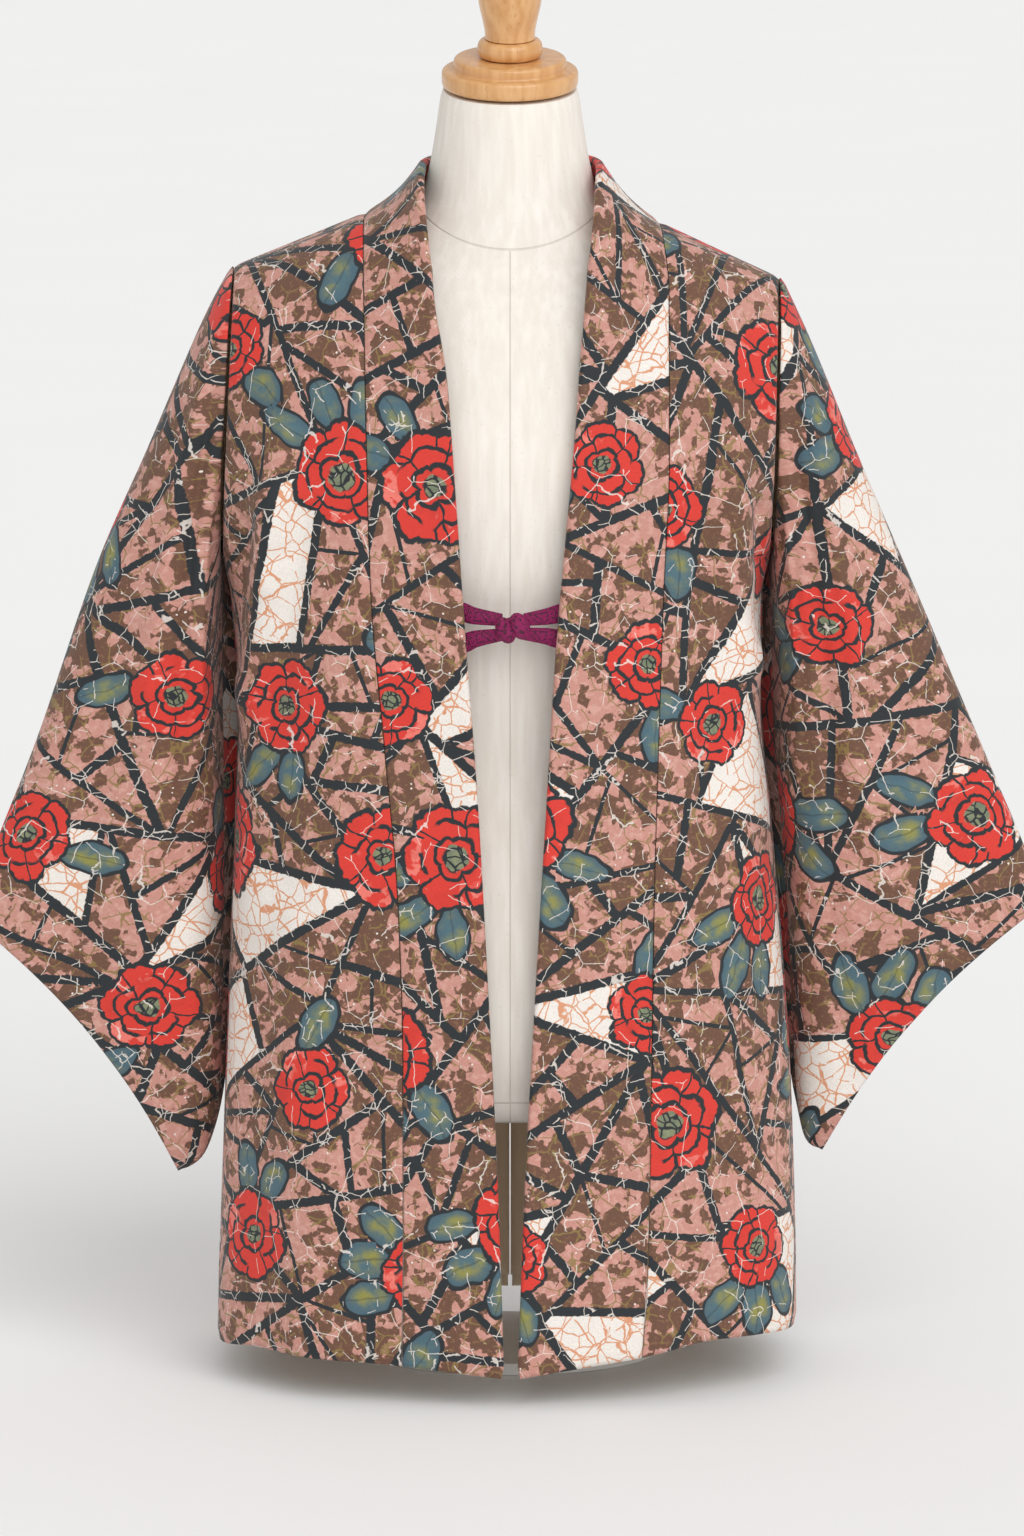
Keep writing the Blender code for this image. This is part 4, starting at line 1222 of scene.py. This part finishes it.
def crackle_effect():
    """Fine broken lines along the edges of random cells, as wax crackle prints them."""
    group, w, taken, given = new_effect(
        "crackle lines", [("Place", "Vector"), ("Cells per Metre", "Float"), ("Line Width", "Float"),
                          ("Broken", "Float")], [("Lines", "Float")])
    place = w.wobble(taken["Place"], 150.0, 0.0030)
    edge = w.cells(place, taken["Cells per Metre"])
    width = w.times(taken["Line Width"], taken["Cells per Metre"])
    line = w.minus(1.0, w.math("SMOOTH_MIN", w.math("DIVIDE", edge, width), 1.0, 0.05))
    line = w.step(line, 0.30, 0.25)
    gaps = w.math("GREATER_THAN", w.noise(taken["Place"], 75.0, 1.0), taken["Broken"])
    w.tree.links.new(w.times(line, gaps), given["Lines"])
    return group


def bar_effect():
    """One straight bar of the network, from its offset in half widths and its place along."""
    group, w, taken, given = new_effect("network bar", [("Bar Map", "Vector"), ("Rough Edge", "Float")],
                                        [("Bar", "Float")])
    across, along, _ = w.split(taken["Bar Map"])
    reach = w.plus(w.size_of(across), taken["Rough Edge"])
    inside = w.below(reach, 1.0, 0.10)
    run = w.math("LESS_THAN", w.size_of(along), 1.0)
    w.tree.links.new(w.times(inside, run), given["Bar"])
    return group


def lobed_edge(w, turn, radius, depth, lobes, phase):
    """Radius of a ring of round petals at each turn about the flower's middle."""
    wave = w.size_of(w.math("SINE", w.times_plus(turn, 0.5 * lobes, phase)))
    return w.times_plus(w.math("POWER", wave, 0.45), depth, radius), wave


def camellia_effect():
    """A full red flower in its own coordinates: three rings of petals, dark outlines, green stamens."""
    group, w, taken, given = new_effect(
        "camellia", [("Flower Map", "Vector"), ("Place", "Vector")], [("Color", "Color"), ("Mask", "Float")])
    at = w.wobble(taken["Flower Map"], 3.1, 0.16)
    at = w.wobble(at, 34.0, 0.34, taken["Place"], 1.0)
    x, y, _ = w.split(at)
    r = w.math("SQRT", w.plus(w.times(x, x), w.times(y, y)))
    turn = w.math("ARCTAN2", y, x)
    outer, outer_wave = lobed_edge(w, turn, 0.80, 0.15, 6.0, 0.4)
    scallop = w.size_of(w.math("SINE", w.times(turn, 14.0)))
    outer = w.times_plus(w.math("POWER", scallop, 0.6), 0.030, outer)
    middle, middle_wave = lobed_edge(w, turn, 0.50, 0.13, 5.0, 1.3)
    inner, _ = lobed_edge(w, w.plus(turn, 0.4), 0.27, 0.09, 4.0, 2.0)
    from_outer = w.minus(outer, r)
    from_middle = w.minus(middle, r)
    from_inner = w.minus(inner, r)
    inside = w.step(from_outer, 0.0, 0.012)
    # petals: red, with lighter salmon ones and brush-worn margins
    ring = w.plus(w.math("GREATER_THAN", from_middle, 0.0), w.math("GREATER_THAN", from_inner, 0.0))
    petal = w.math("FLOOR", w.times_plus(turn, 6.0 / (2.0 * math.pi), 0.4 / math.pi))
    key = w.node("ShaderNodeCombineXYZ", {0: petal, 1: ring, 2: 0.37}).outputs[0]
    chance = w.node("ShaderNodeTexWhiteNoise", {"Vector": key}, noise_dimensions="3D").outputs["Value"]
    brush = w.noise(taken["Place"], 120.0, 3.0)
    patch = w.noise(taken["Place"], 26.0, 1.0)
    pale = w.plus(w.times(chance, 0.50), w.times(patch, 0.75))
    pale = w.times_plus(w.minus(brush, 0.5), 0.9, pale)
    salmon = w.times(w.step(pale, 0.86, 0.04), w.below(from_outer, 0.40, 0.12))
    color = w.mix(salmon, linear(PETAL_RED), linear(PETAL_SALMON))
    deep = w.step(w.noise(taken["Place"], 60.0, 2.0), 0.62, 0.10)
    color = w.mix(w.times(deep, 0.35), color, linear("#B8281F"))
    # dark outlines
    ragged = w.unsteady(taken["Place"], 210.0, 0.055)
    outline = w.below(w.plus(from_outer, ragged), 0.085, 0.012)
    middle_line = w.below(w.size_of(w.plus(from_middle, ragged)), 0.036, 0.010)
    middle_line = w.times(middle_line, w.step(w.noise(taken["Place"], 48.0, 0.0), 0.40, 0.03))
    inner_line = w.below(w.size_of(w.plus(from_inner, ragged)), 0.040, 0.010)
    parting = w.below(w.plus(w.times(outer_wave, r), ragged), 0.075, 0.02)
    parting = w.times(parting, w.below(from_middle, -0.02, 0.02))
    parting_in = w.below(w.plus(w.times(middle_wave, r), ragged), 0.045, 0.015)
    parting_in = w.times(parting_in, w.below(from_inner, -0.01, 0.02))
    dark = outline
    for line in (middle_line, inner_line, parting, parting_in):
        dark = w.larger(dark, line)
    # stamens: green knobs with dark rims
    knobs = w.cells(at, 6.5)
    knob = w.step(knobs, 0.10, 0.03)
    heart = w.step(w.minus(0.22, r), 0.0, 0.02)
    green = w.mix(w.noise(taken["Place"], 160.0, 1.0), linear("#4F6058"), linear("#94976F"))
    color = w.mix(dark, color, linear(BAR_BLACK))
    color = w.mix(heart, color, w.mix(knob, linear(BAR_BLACK), green))
    w.tree.links.new(color, given["Color"])
    w.tree.links.new(inside, given["Mask"])
    return group


def leaf_effect():
    """An oval leaf in its own coordinates: blue-green with an olive flush, dark rim and a thin rib."""
    group, w, taken, given = new_effect(
        "print leaf", [("Leaf Map", "Vector"), ("Place", "Vector")], [("Color", "Color"), ("Mask", "Float")])
    at = w.wobble(taken["Leaf Map"], 60.0, 0.55, taken["Place"], 1.0)
    r = w.vector("LENGTH", at)
    _, y, _ = w.split(at)
    flush = w.step(w.noise(taken["Place"], 70.0, 2.0), 0.52, 0.16)
    flush = w.times(flush, w.below(r, 0.62, 0.30))
    color = w.mix(flush, linear(LEAF_BLUE), linear(LEAF_OLIVE))
    color = w.mix(w.times(w.step(r, 0.55, 0.3), 0.5), color, linear("#3A5566"))
    rim = w.step(r, 0.83, 0.03)
    rib = w.times(w.below(w.size_of(y), 0.05, 0.02), 0.35)
    color = w.mix(w.larger(rim, rib), color, linear(BAR_BLACK))
    w.tree.links.new(color, given["Color"])
    w.tree.links.new(w.below(r, 1.0, 0.02), given["Mask"])
    return group


def weave_effect():
    """The slightly pebbled face of a crepe weave: a height and a light and dark grain."""
    group, w, taken, given = new_effect("crepe weave", [("Place", "Vector"), ("Grains per Metre", "Float")],
                                        [("Height", "Float"), ("Grain", "Float")])
    grain = w.noise(taken["Place"], taken["Grains per Metre"], 2.0)
    x, y, _ = w.split(taken["Place"])
    thread = w.times(w.plus(w.times(x, 0.6), y), taken["Grains per Metre"])
    twill = w.times(w.math("SINE", w.times(thread, 4.0)), 0.12)
    w.tree.links.new(w.plus(grain, twill), given["Height"])
    w.tree.links.new(grain, given["Grain"])
    return group


def new_finish(name, roughness, **constants):
    """A material with its shader, whose plain values are set on the shader itself."""
    made = bpy.data.materials.new(name)
    made.use_nodes = True
    shader = made.node_tree.nodes["Principled BSDF"]
    shader.inputs["Roughness"].default_value = roughness
    for socket, value in constants.items():
        shader.inputs[socket.replace("_", " ")].default_value = value
    return made, Wiring(made.node_tree), shader


def lay_weave(w, shader, color, weave, place, grains, contrast, depth):
    """Shades a colour by the weave's grain, and raises the weave."""
    out = w.effect(weave, {"Place": place, "Grains per Metre": grains})
    shade = w.node("ShaderNodeMapRange", {"Value": out["Grain"], "From Min": 0.25, "From Max": 0.75,
                                          "To Min": 1.0 - contrast, "To Max": 1.0 + contrast})
    shade = shade.outputs["Result"]
    w.dress(shader, w.vector("SCALE", color, scale=shade), out["Height"], depth, WEAVE_HEIGHT)


def printed_cloth(effects):
    made, w, shader = new_finish("printed silk crepe", 0.72, Sheen_Weight=0.12, Sheen_Roughness=0.5)
    place = w.cloth_map("cloth")
    depth, _, _ = w.split(w.cloth_map("facet"))
    drawn = w.wobble(place, 120.0, 0.0016)
    # mottled ground: pink patches on brown, more of one or the other from place to place
    drift = w.noise(place, 13.0, 1.0)
    patches = w.noise(drawn, 78.0, 3.0)
    shards = w.cells(drawn, 105.0, "F1", "Color")
    shard_tone, _, _ = w.split(shards)
    amount = w.plus(w.times(patches, 0.85), w.times(shard_tone, 0.20))
    amount = w.times_plus(drift, 0.42, amount)
    pink = w.step(amount, 0.735, 0.018)
    worn = w.step(w.noise(place, 330.0, 2.0), 0.60, 0.05)
    brown = w.mix(worn, linear(GROUND_BROWN), linear("#7E5A41"))
    rose = w.mix(w.step(w.noise(place, 190.0, 2.0), 0.55, 0.08), linear(GROUND_PINK), linear("#CF9C8F"))
    ground = w.mix(pink, brown, rose)
    olive = w.crackle(effects["crackle"], w.vector("ADD", place, (3.1, 0.7, 0.0)), 62.0, 0.00055, 0.47)
    ground = w.mix(w.times(olive, 0.85), ground, linear(WEB_OLIVE))
    specks = w.below(w.cells(drawn, 150.0, "F1"), 0.11, 0.02)
    specks = w.times(specks, w.step(w.noise(place, 40.0, 0.0), 0.52, 0.02))
    ground = w.mix(specks, ground, linear(CRACKLE_WHITE))
    # white facets with an orange web
    web = 0.0
    for shift, cells, width in (((0.0, 2.0, 0.0), 68.0, 0.00055), ((1.3, 0.0, 0.0), 44.0, 0.00065)):
        moved = w.vector("ADD", place, shift)
        web = w.larger(web, w.crackle(effects["crackle"], moved, cells, width, 0.34))
    paper = w.mix(w.noise(place, 50.0, 2.0), linear(FACET_WHITE), linear("#E2DBD3"))
    facet = w.mix(w.times(web, 0.9), paper, linear(WEB_ORANGE))
    ragged = w.unsteady(place, 170.0, 0.12)
    color = w.mix(w.step(w.plus(depth, ragged), 0.0, 0.01), ground, facet)
    # leaves, the dark network and the flowers
    rough_edge = w.unsteady(place, 260.0, 0.75)
    bars = w.larger(w.effect(effects["bar"], {"Bar Map": w.cloth_map("bar"), "Rough Edge": rough_edge})["Bar"],
                  w.effect(effects["bar"], {"Bar Map": w.cloth_map("second_bar"),
                                            "Rough Edge": rough_edge})["Bar"])
    color = w.mix(bars, color, linear(BAR_BLACK))
    leaf = w.effect(effects["leaf"], {"Leaf Map": w.cloth_map("leaf"), "Place": place})
    color = w.mix(leaf["Mask"], color, leaf["Color"])
    flower = w.effect(effects["camellia"], {"Flower Map": w.cloth_map("flower"), "Place": place})
    color = w.mix(flower["Mask"], color, flower["Color"])
    # white crackle over all, with short ticks across the bars
    crackle = w.crackle(effects["crackle"], place, 36.0, 0.00033, 0.48)
    ticks = w.crackle(effects["crackle"], w.vector("ADD", place, (0.0, 5.0, 0.0)), 64.0, 0.00036, 0.44)
    ticks = w.times(ticks, w.times(bars, w.minus(1.0, flower["Mask"])))
    color = w.mix(w.times(w.larger(crackle, ticks), 0.76), color, linear(CRACKLE_WHITE))
    lay_weave(w, shader, color, effects["weave"], place, 700.0, 0.10, 0.35)
    return made


def lining_cloth(effects):
    made, w, shader = new_finish("taupe lining", 0.55, Sheen_Weight=0.10)
    place = w.cloth_map("cloth")
    tone = w.noise(place, 9.0, 2.0)
    # both tones are lighter than the lining's own taupe: painted light for the shaded inside of the back
    color = w.mix(tone, linear("#DCC3A6"), linear("#ECD6BA"))
    lay_weave(w, shader, color, effects["weave"], place, 900.0, 0.05, 0.2)
    return made


def form_linen(effects):
    """Cream linen stretched over the form, with its neck seam, front seam and lower binding."""
    made, w, shader = new_finish("form linen", 0.85)
    place = w.own_place()
    x, y, z = w.split(place)
    streaked = w.node("ShaderNodeMapping", {0: place, "Scale": (1.0, 1.0, 0.10)}).outputs[0]
    streak = w.noise(streaked, 170.0, 3.0)
    cloud = w.noise(place, 14.0, 2.0)
    color = w.mix(w.step(streak, 0.52, 0.20), linear("#E9E2D8"), linear("#F3EEE6"))
    color = w.mix(w.times(w.step(cloud, 0.5, 0.3), 0.35), color, linear("#EEE5D8"))
    fleck = w.times(w.step(w.noise(place, 420.0, 1.0), 0.72, 0.03), 0.25)
    color = w.mix(fleck, color, linear("#CFC3B2"))
    # the neck seam is a ring that dips at the front; the front and back seams run down from it
    sag = w.times(w.math("POWER", w.math("DIVIDE", x, 0.075), 2.0), 0.026)
    ring_z = w.plus(w.times_plus(y, 0.12, 0.795), sag)
    seam_ring = w.below(w.size_of(w.minus(z, ring_z)), 0.0006, 0.0004)
    seam_ring = w.times(seam_ring, w.math("LESS_THAN", w.size_of(x), 0.085))
    under = w.math("LESS_THAN", z, ring_z)
    seam_front = w.times(w.below(w.size_of(x), 0.0005, 0.0003), under)
    binding = w.below(w.size_of(w.minus(z, 0.207)), 0.0006, 0.0004)
    seams = w.larger(w.larger(seam_ring, binding), seam_front)
    color = w.mix(w.times(seams, 0.30), color, linear("#A79A88"))
    out = w.effect(effects["weave"], {"Place": place, "Grains per Metre": 800.0})
    height = w.minus(w.times(w.plus(out["Height"], streak), 0.15), seams)
    w.dress(shader, color, height, 0.5, 0.0008)
    return made


def turned_wood():
    """Varnished pale wood, with fine grain that runs up the turning."""
    made, w, shader = new_finish("turned wood", 0.34, Coat_Weight=0.45, Coat_Roughness=0.12)
    place = w.own_place()
    stretched = w.node("ShaderNodeMapping", {0: place, "Scale": (1.0, 1.0, 0.09),
                                             "Rotation": (0.12, 0.0, 0.0)}).outputs[0]
    grain = w.noise(stretched, 190.0, 4.0)
    band = w.noise(stretched, 34.0, 2.0)
    color = w.mix(w.step(grain, 0.50, 0.22), linear("#CF9659"), linear("#E2B078"))
    color = w.mix(w.times(w.step(band, 0.52, 0.2), 0.5), color, linear("#D8A267"))
    pores = w.times(w.step(w.noise(stretched, 620.0, 2.0), 0.66, 0.04), 0.35)
    color = w.mix(pores, color, linear("#A86F3A"))
    polish = w.node("ShaderNodeMapRange", {"Value": grain, "To Min": 0.26, "To Max": 0.42})
    w.tree.links.new(polish.outputs["Result"], shader.inputs["Roughness"])
    w.dress(shader, color, grain, 0.12, 0.0004)
    return made


def tie_braid(name, on_knot=False):
    """Magenta braid: strands slant both ways from its middle, with painted shade in the grooves between them
    and dark flecks over it.
    """
    made, w, shader = new_finish(name, 0.62)
    if on_knot:
        place = w.own_place()
        across, _, along = w.split(w.vector("SUBTRACT", place, KNOT_MIDDLE))
    else:
        place = w.cloth_map("cloth")
        along, across, _ = w.split(place)
    slant = w.times_plus(w.size_of(across), 0.9, along)
    slant = w.times_plus(w.noise(place, 260.0, 1.0), 0.0008, slant)
    strand = w.math("SINE", w.times(slant, 2.0 * math.pi / BRAID_STRAND))
    ridge = w.times_plus(strand, 0.5, 0.5)
    groove_shade = w.below(ridge, 0.20, 0.15)
    fleck = w.step(w.noise(place, 480.0, 2.0), 0.54, 0.03)
    color = w.mix(w.noise(place, 300.0, 1.0), linear("#86034A"), linear("#A40466"))
    # painted shade: darker in the grooves between the strands
    color = w.mix(w.times(groove_shade, 0.55), color, linear("#5A0334"))
    color = w.mix(w.times(fleck, 0.85), color, linear("#3A0524"))
    bright = w.step(w.noise(place, 840.0, 1.0), 0.70, 0.02)
    color = w.mix(w.times(bright, 0.4), color, linear("#C0307C"))
    w.dress(shader, color, ridge, 0.8, 0.0006)
    return made


def stand_paint():
    made, w, shader = new_finish("stand paint", 0.45)
    place = w.own_place()
    color = w.mix(w.noise(place, 30.0, 3.0), linear("#E9E6E0"), linear("#F4F2EE"))
    w.dress(shader, color, w.noise(place, 500.0, 2.0), 0.1, 0.0005)
    return made


# ================================================================ the form, its wood and the tie
def smooth_piece(name, verts, faces, finish, sharp_deg=None):
    mesh = bpy.data.meshes.new(name)
    mesh.from_pydata(verts, [], faces)
    mesh.materials.append(finish)
    mesh.shade_smooth()
    if sharp_deg:
        mesh.set_sharp_from_angle(angle=math.radians(sharp_deg))
    piece = put_in_scene(name, mesh)
    return piece


def ring_faces(rings, sides):
    faces = []
    for i in range(rings - 1):
        for k in range(sides):
            n = (k + 1) % sides
            faces.append((i * sides + k, i * sides + n, (i + 1) * sides + n, (i + 1) * sides + k))
    return faces


def dress_form(finish):
    """Torso and neck in one smooth closed shell; the neck's top leans forward."""
    low, high = FORM_RINGS[0].z, FORM_RINGS[-1].z
    heights = [low, low + 0.001, low + 0.002, low + 0.003]
    heights += [low + 0.004 + (high - low - 0.005) * k / FORM_HEIGHTS for k in range(FORM_HEIGHTS + 1)]
    heights.append(high)
    verts = []
    for z in heights:
        half, front, back = (between(FORM_RINGS, "z", z, c) for c in ("half_width", "front", "back"))
        lean = min(max((z - LEAN_FROM_Z) / (NECK_TOP_Z - LEAN_FROM_Z), 0.0), 1.0)
        middle_y = NECK_TOP_Y * lean * LEAN_FORWARD
        for k in range(FORM_SIDES):
            angle = 2.0 * math.pi * k / FORM_SIDES
            c, s = math.cos(angle), math.sin(angle)
            depth = back if s > 0 else front
            x = half * math.copysign(abs(c) ** (2 / FORM_ROUNDNESS), c)
            y = middle_y + depth * math.copysign(abs(s) ** (2 / FORM_ROUNDNESS), s)
            verts.append((x, y, z + (y - middle_y) * math.tan(math.radians(CAP_LEAN_DEG)) * lean))
    faces = ring_faces(len(heights), FORM_SIDES)
    faces.append(list(reversed(range(FORM_SIDES))))
    last = (len(heights) - 1) * FORM_SIDES
    faces.append(list(range(last, last + FORM_SIDES)))
    return smooth_piece("form_linen_shell", verts, faces, finish, 40)


def rounded_profile(profile):
    """The turned outline with its corners eased and its long curves smoothed."""
    points = [Vector((p.radius, 0.0, p.z)) for p in profile]
    eased = [points[0]]
    for before, corner, after in zip(points, points[1:], points[2:]):
        reach = min(TURNED_EDGE, 0.4 * (corner - before).length, 0.4 * (after - corner).length)
        start = corner + (before - corner).normalized() * reach
        end = corner + (after - corner).normalized() * reach
        for t in (0.0, 0.33, 0.67, 1.0):
            eased.append(start.lerp(corner, t).lerp(corner.lerp(end, t), t))
    eased.append(points[-1])
    return eased


def turned_piece(name, profile, finish, foot):
    """A turned piece on the neck's axis, which leans forward; foot is its height above the neck's top."""
    outline = rounded_profile(profile)
    lean = math.radians(CAP_LEAN_DEG)
    verts = []
    for point in outline[1:-1]:
        for k in range(TURNING_STEPS):
            angle = 2.0 * math.pi * k / TURNING_STEPS
            x, y = point.x * math.cos(angle), point.x * math.sin(angle)
            verts.append(on_neck_axis(x, y, foot + point.z, lean))
    rings = len(outline) - 2
    faces = [list(reversed(face)) for face in ring_faces(rings, TURNING_STEPS)]
    faces.append(list(range(TURNING_STEPS)))
    last = (rings - 1) * TURNING_STEPS
    faces.append(list(reversed(range(last, last + TURNING_STEPS))))
    return smooth_piece(name, verts, faces, finish, 50)


def on_neck_axis(x, y, z, lean):
    """A point given about the neck's own axis, which leans forward."""
    return (x, NECK_TOP_Y * 0.6 - 0.004 + y * math.cos(lean) - z * math.sin(lean),
            NECK_TOP_Z + y * math.sin(lean) + z * math.cos(lean))


def braided_tube(name, line, finish, sides=20):
    """A soft flat braid along a line, narrower towards the knot, with (length, width) as its cloth map."""
    count = len(line)
    verts = []
    lengths = [0.0]
    face = Vector((0.0, -1.0, 0.0))
    for k, point in enumerate(line):
        onward = (line[min(k + 1, count - 1)] - line[max(k - 1, 0)]).normalized()
        face = (face - onward * face.dot(onward)).normalized()
        side = onward.cross(face)
        half = 0.5 * BRAID_WIDTH * (1.0 - BRAID_NARROWING * k / (count - 1))
        for n in range(sides):
            angle = 2.0 * math.pi * n / sides
            c, s = math.cos(angle), math.sin(angle)
            verts.append(point + side * half * math.copysign(abs(c) ** 0.8, c)
                         + face * 0.5 * BRAID_THICK * math.copysign(abs(s) ** 0.8, s))
        lengths.append(lengths[-1] + (line[min(k + 1, count - 1)] - point).length)
    faces = ring_faces(count, sides)
    faces.append(list(reversed(range(sides))))
    faces.append(list(range((count - 1) * sides, count * sides)))
    piece = smooth_piece(name, verts, faces, finish)
    offsets = [0.5 * BRAID_WIDTH * math.cos(2.0 * math.pi * n / sides) for n in range(sides + 1)]
    corners = []
    for k in range(count - 1):
        for n in range(sides):
            corners += [(lengths[k], offsets[n]), (lengths[k], offsets[n + 1]),
                        (lengths[k + 1], offsets[n + 1]), (lengths[k + 1], offsets[n])]
    corners += [(0.0, offset) for offset in offsets[:-1]] * 2
    write_map(piece.data, "cloth", np.array(corners))
    return piece


def tie_bands(finish):
    """The four flat braids, from behind the collar's edges to the knot."""
    knot_x, knot_y, _ = KNOT_MIDDLE
    bands = []
    for braid in BRAIDS:
        sign = SIGN[braid.side]
        edge = between(COLLAR_EDGE, "z", braid.z_edge, braid.side) + 0.008
        y_edge = between(COLLAR_EDGE, "z", braid.z_edge, "y") + 0.0075
        z_middle = 0.5 * (braid.z_edge + braid.z_knot) - 0.0006
        route = [Vector((sign * edge, y_edge, braid.z_edge)),
                 Vector((sign * (edge * 0.80), y_edge - 0.0005, braid.z_edge - 0.0008)),
                 Vector((sign * (edge * 0.60), y_edge - 0.0030, z_middle)),
                 Vector((knot_x + sign * 0.0075, knot_y + 0.0015, braid.z_knot))]
        line = resample(smooth_curve(route), [k / 48 for k in range(49)])
        line = [point + Vector((0.0, 0.5 * BRAID_THICK, 0.0)) for point in line]
        band = braided_tube(braid.name + "_braid", line, finish)
        bands.append((band, braid.name))
    return bands


def tie_knot(finish):
    """The knot: two round lobes of braid that overlap on a slanting crease, over a flatter turn behind."""
    mesh = bmesh.new()
    for lobe in KNOT_LOBES:
        place = Matrix.Translation(Vector(KNOT_MIDDLE) + Vector((lobe.x, lobe.y, lobe.z)))
        lean = Matrix.Rotation(math.radians(lobe.lean), 4, "Y")
        size = Matrix.Diagonal((lobe.half_x, lobe.half_y, lobe.half_z, 1.0))
        bmesh.ops.create_uvsphere(mesh, u_segments=40, v_segments=28, radius=1.0, matrix=place @ lean @ size)
    data = bpy.data.meshes.new("himo_knot_braid")
    mesh.to_mesh(data)
    mesh.free()
    data.materials.append(finish)
    data.shade_smooth()
    knot = put_in_scene("himo_knot_braid", data)
    blend = knot.modifiers.new("one skin", "REMESH")
    blend.mode = "VOXEL"
    blend.voxel_size = KNOT_VOXEL
    blend.use_smooth_shade = True
    ease = knot.modifiers.new("eased crease", "SMOOTH")
    ease.iterations = 1
    return knot


# ================================================================ putting it together
def dress_cloth(finishes):
    """Every cloth piece on its solid's form, with its flat cut as its map."""
    two_sided = (finishes["printed_cloth"], finishes["lining"])
    for number, side in enumerate(SIGN):
        outward = SIGN[side]
        front, back = front_rows(side), back_rows(side)
        body = finish_edges(to_array(back + list(reversed(front))), outward, (0, 1), (2, 3))
        cut = eased_cut(body, flat_cut(body, len(back), body.shape[1] - 1))
        cloth_piece("body_" + side, body, cut, two_sided, outward, 11 + number)
        rings = finish_edges(to_array(sleeve_rings(side)), outward, (2,), (3,), ring=True)
        cloth_piece("sleeve_" + side, rings, sleeve_cut(rings), two_sided, outward, 21 + number,
                    ring=True)
        band = finish_edges(to_array(collar_rows(side, front)), outward, (0,), (2,))
        cut = eased_cut(band, flat_cut(band))
        cloth_piece("collar_" + side, band, cut, two_sided[:1], outward, 31 + number)
        gore = finish_edges(to_array(gusset_rows(side)), -outward, (0, 1), (2,))
        cloth_piece("gusset_" + side, gore, flat_cut(gore), two_sided, -outward, 41 + number)
        inner = to_array(lining_rows(side))
        cloth_piece("lining_" + side, inner, flat_cut(inner), two_sided[1:], outward, None)


def cloth_piece(node, points, cut, materials, outward, seed, ring=False):
    """One piece of cloth for a node, printed from its own seed, or plain lining with none."""
    thick = LINING_THICK if seed is None else CLOTH_THICK
    piece, corners = cloth_mesh(node + "_cloth", points, cut, materials, thick, outward, ring)
    if seed is not None:
        draw_print(piece, corners, seed)
    carry(piece, [node])


def carry(piece, nodes):
    """The piece rides on the one body and stands in for its nodes, which are hidden."""
    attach(piece, "root")
    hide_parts(*nodes)


def set_stage():
    """A plain pale floor, a white surround and one soft light from above and before the jacket."""
    h, z = FLOOR_HALF, FLOOR_Z
    mesh = bpy.data.meshes.new("floor")
    mesh.from_pydata([(-h, -h, z), (h, -h, z), (h, h, z), (-h, h, z)], [], [(0, 1, 2, 3)])
    made, w, shader = new_finish("pale floor", 0.9)
    place = w.own_place()
    color = w.mix(w.noise(place, 3.0, 1.0), linear("#FBFBFA"), linear("#FDFDFC"))
    w.tree.links.new(color, shader.inputs["Base Color"])
    mesh.materials.append(made)
    put_in_scene("floor", mesh)
    scene = bpy.context.scene
    scene.view_settings.view_transform = "Standard"
    scene.world = bpy.data.worlds.new("studio")
    scene.world.use_nodes = True
    surround = scene.world.node_tree.nodes["Background"]
    surround.inputs["Color"].default_value = (1.0, 1.0, 1.0, 1.0)
    surround.inputs["Strength"].default_value = SURROUND_STRENGTH
    data = bpy.data.lights.new("soft overhead light", "SUN")
    data.energy = LIGHT_ENERGY
    data.angle = LIGHT_SPREAD
    lamp = put_in_scene("soft overhead light", data)
    lamp.rotation_euler = Vector(LIGHT_HEADING).to_track_quat("-Z", "Y").to_euler()


def set_camera():
    """A long lens a little above the jacket's middle."""
    elevation = math.radians(CAMERA_ELEVATION_DEG)
    data = bpy.data.cameras.new("camera")
    data.sensor_fit = "VERTICAL"
    data.sensor_height = 24.0
    data.lens = 124.5
    data.dof.use_dof = False
    camera = put_in_scene("camera", data)
    camera.location = (CAMERA_AIM_X, -CAMERA_DISTANCE * math.cos(elevation),
                       CAMERA_AIM_Z + CAMERA_DISTANCE * math.sin(elevation))
    camera.rotation_euler = (math.pi / 2 - elevation, 0.0, 0.0)
    bpy.context.scene.camera = camera


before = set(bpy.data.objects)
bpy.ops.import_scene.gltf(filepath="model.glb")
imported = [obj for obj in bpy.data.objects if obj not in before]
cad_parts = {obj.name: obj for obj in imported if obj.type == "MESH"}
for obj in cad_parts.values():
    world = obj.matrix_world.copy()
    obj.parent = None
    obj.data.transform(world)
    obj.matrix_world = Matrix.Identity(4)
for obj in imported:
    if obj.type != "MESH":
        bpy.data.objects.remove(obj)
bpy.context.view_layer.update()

effects = {"crackle": crackle_effect(), "bar": bar_effect(), "camellia": camellia_effect(),
           "leaf": leaf_effect(), "weave": weave_effect()}
finishes = {"printed_cloth": printed_cloth(effects), "lining": lining_cloth(effects),
            "form_linen": form_linen(effects), "turned_wood": turned_wood(),
            "tie_braid": tie_braid("magenta braid"), "knot_braid": tie_braid("magenta knot", on_knot=True),
            "stand_paint": stand_paint()}

carry(dress_form(finishes["form_linen"]), ["form_torso"])
dress_cloth(finishes)

foot = 0.0
for node, profile in (("neck_cap", CAP_PROFILE), ("neck_bead", BEAD_PROFILE), ("neck_knob", KNOB_PROFILE)):
    carry(turned_piece(node + "_turned", profile, finishes["turned_wood"], foot), [node])
    foot += profile[0].z + REST_GAP

for band, node in tie_bands(finishes["tie_braid"]):
    carry(band, [node])
carry(tie_knot(finishes["knot_braid"]), ["himo_knot"])

for node in ("stand_base", "stand_post_left", "stand_post_right"):
    bpy.data.objects[node].material_slots[0].material = finishes["stand_paint"]

set_stage()
set_camera()
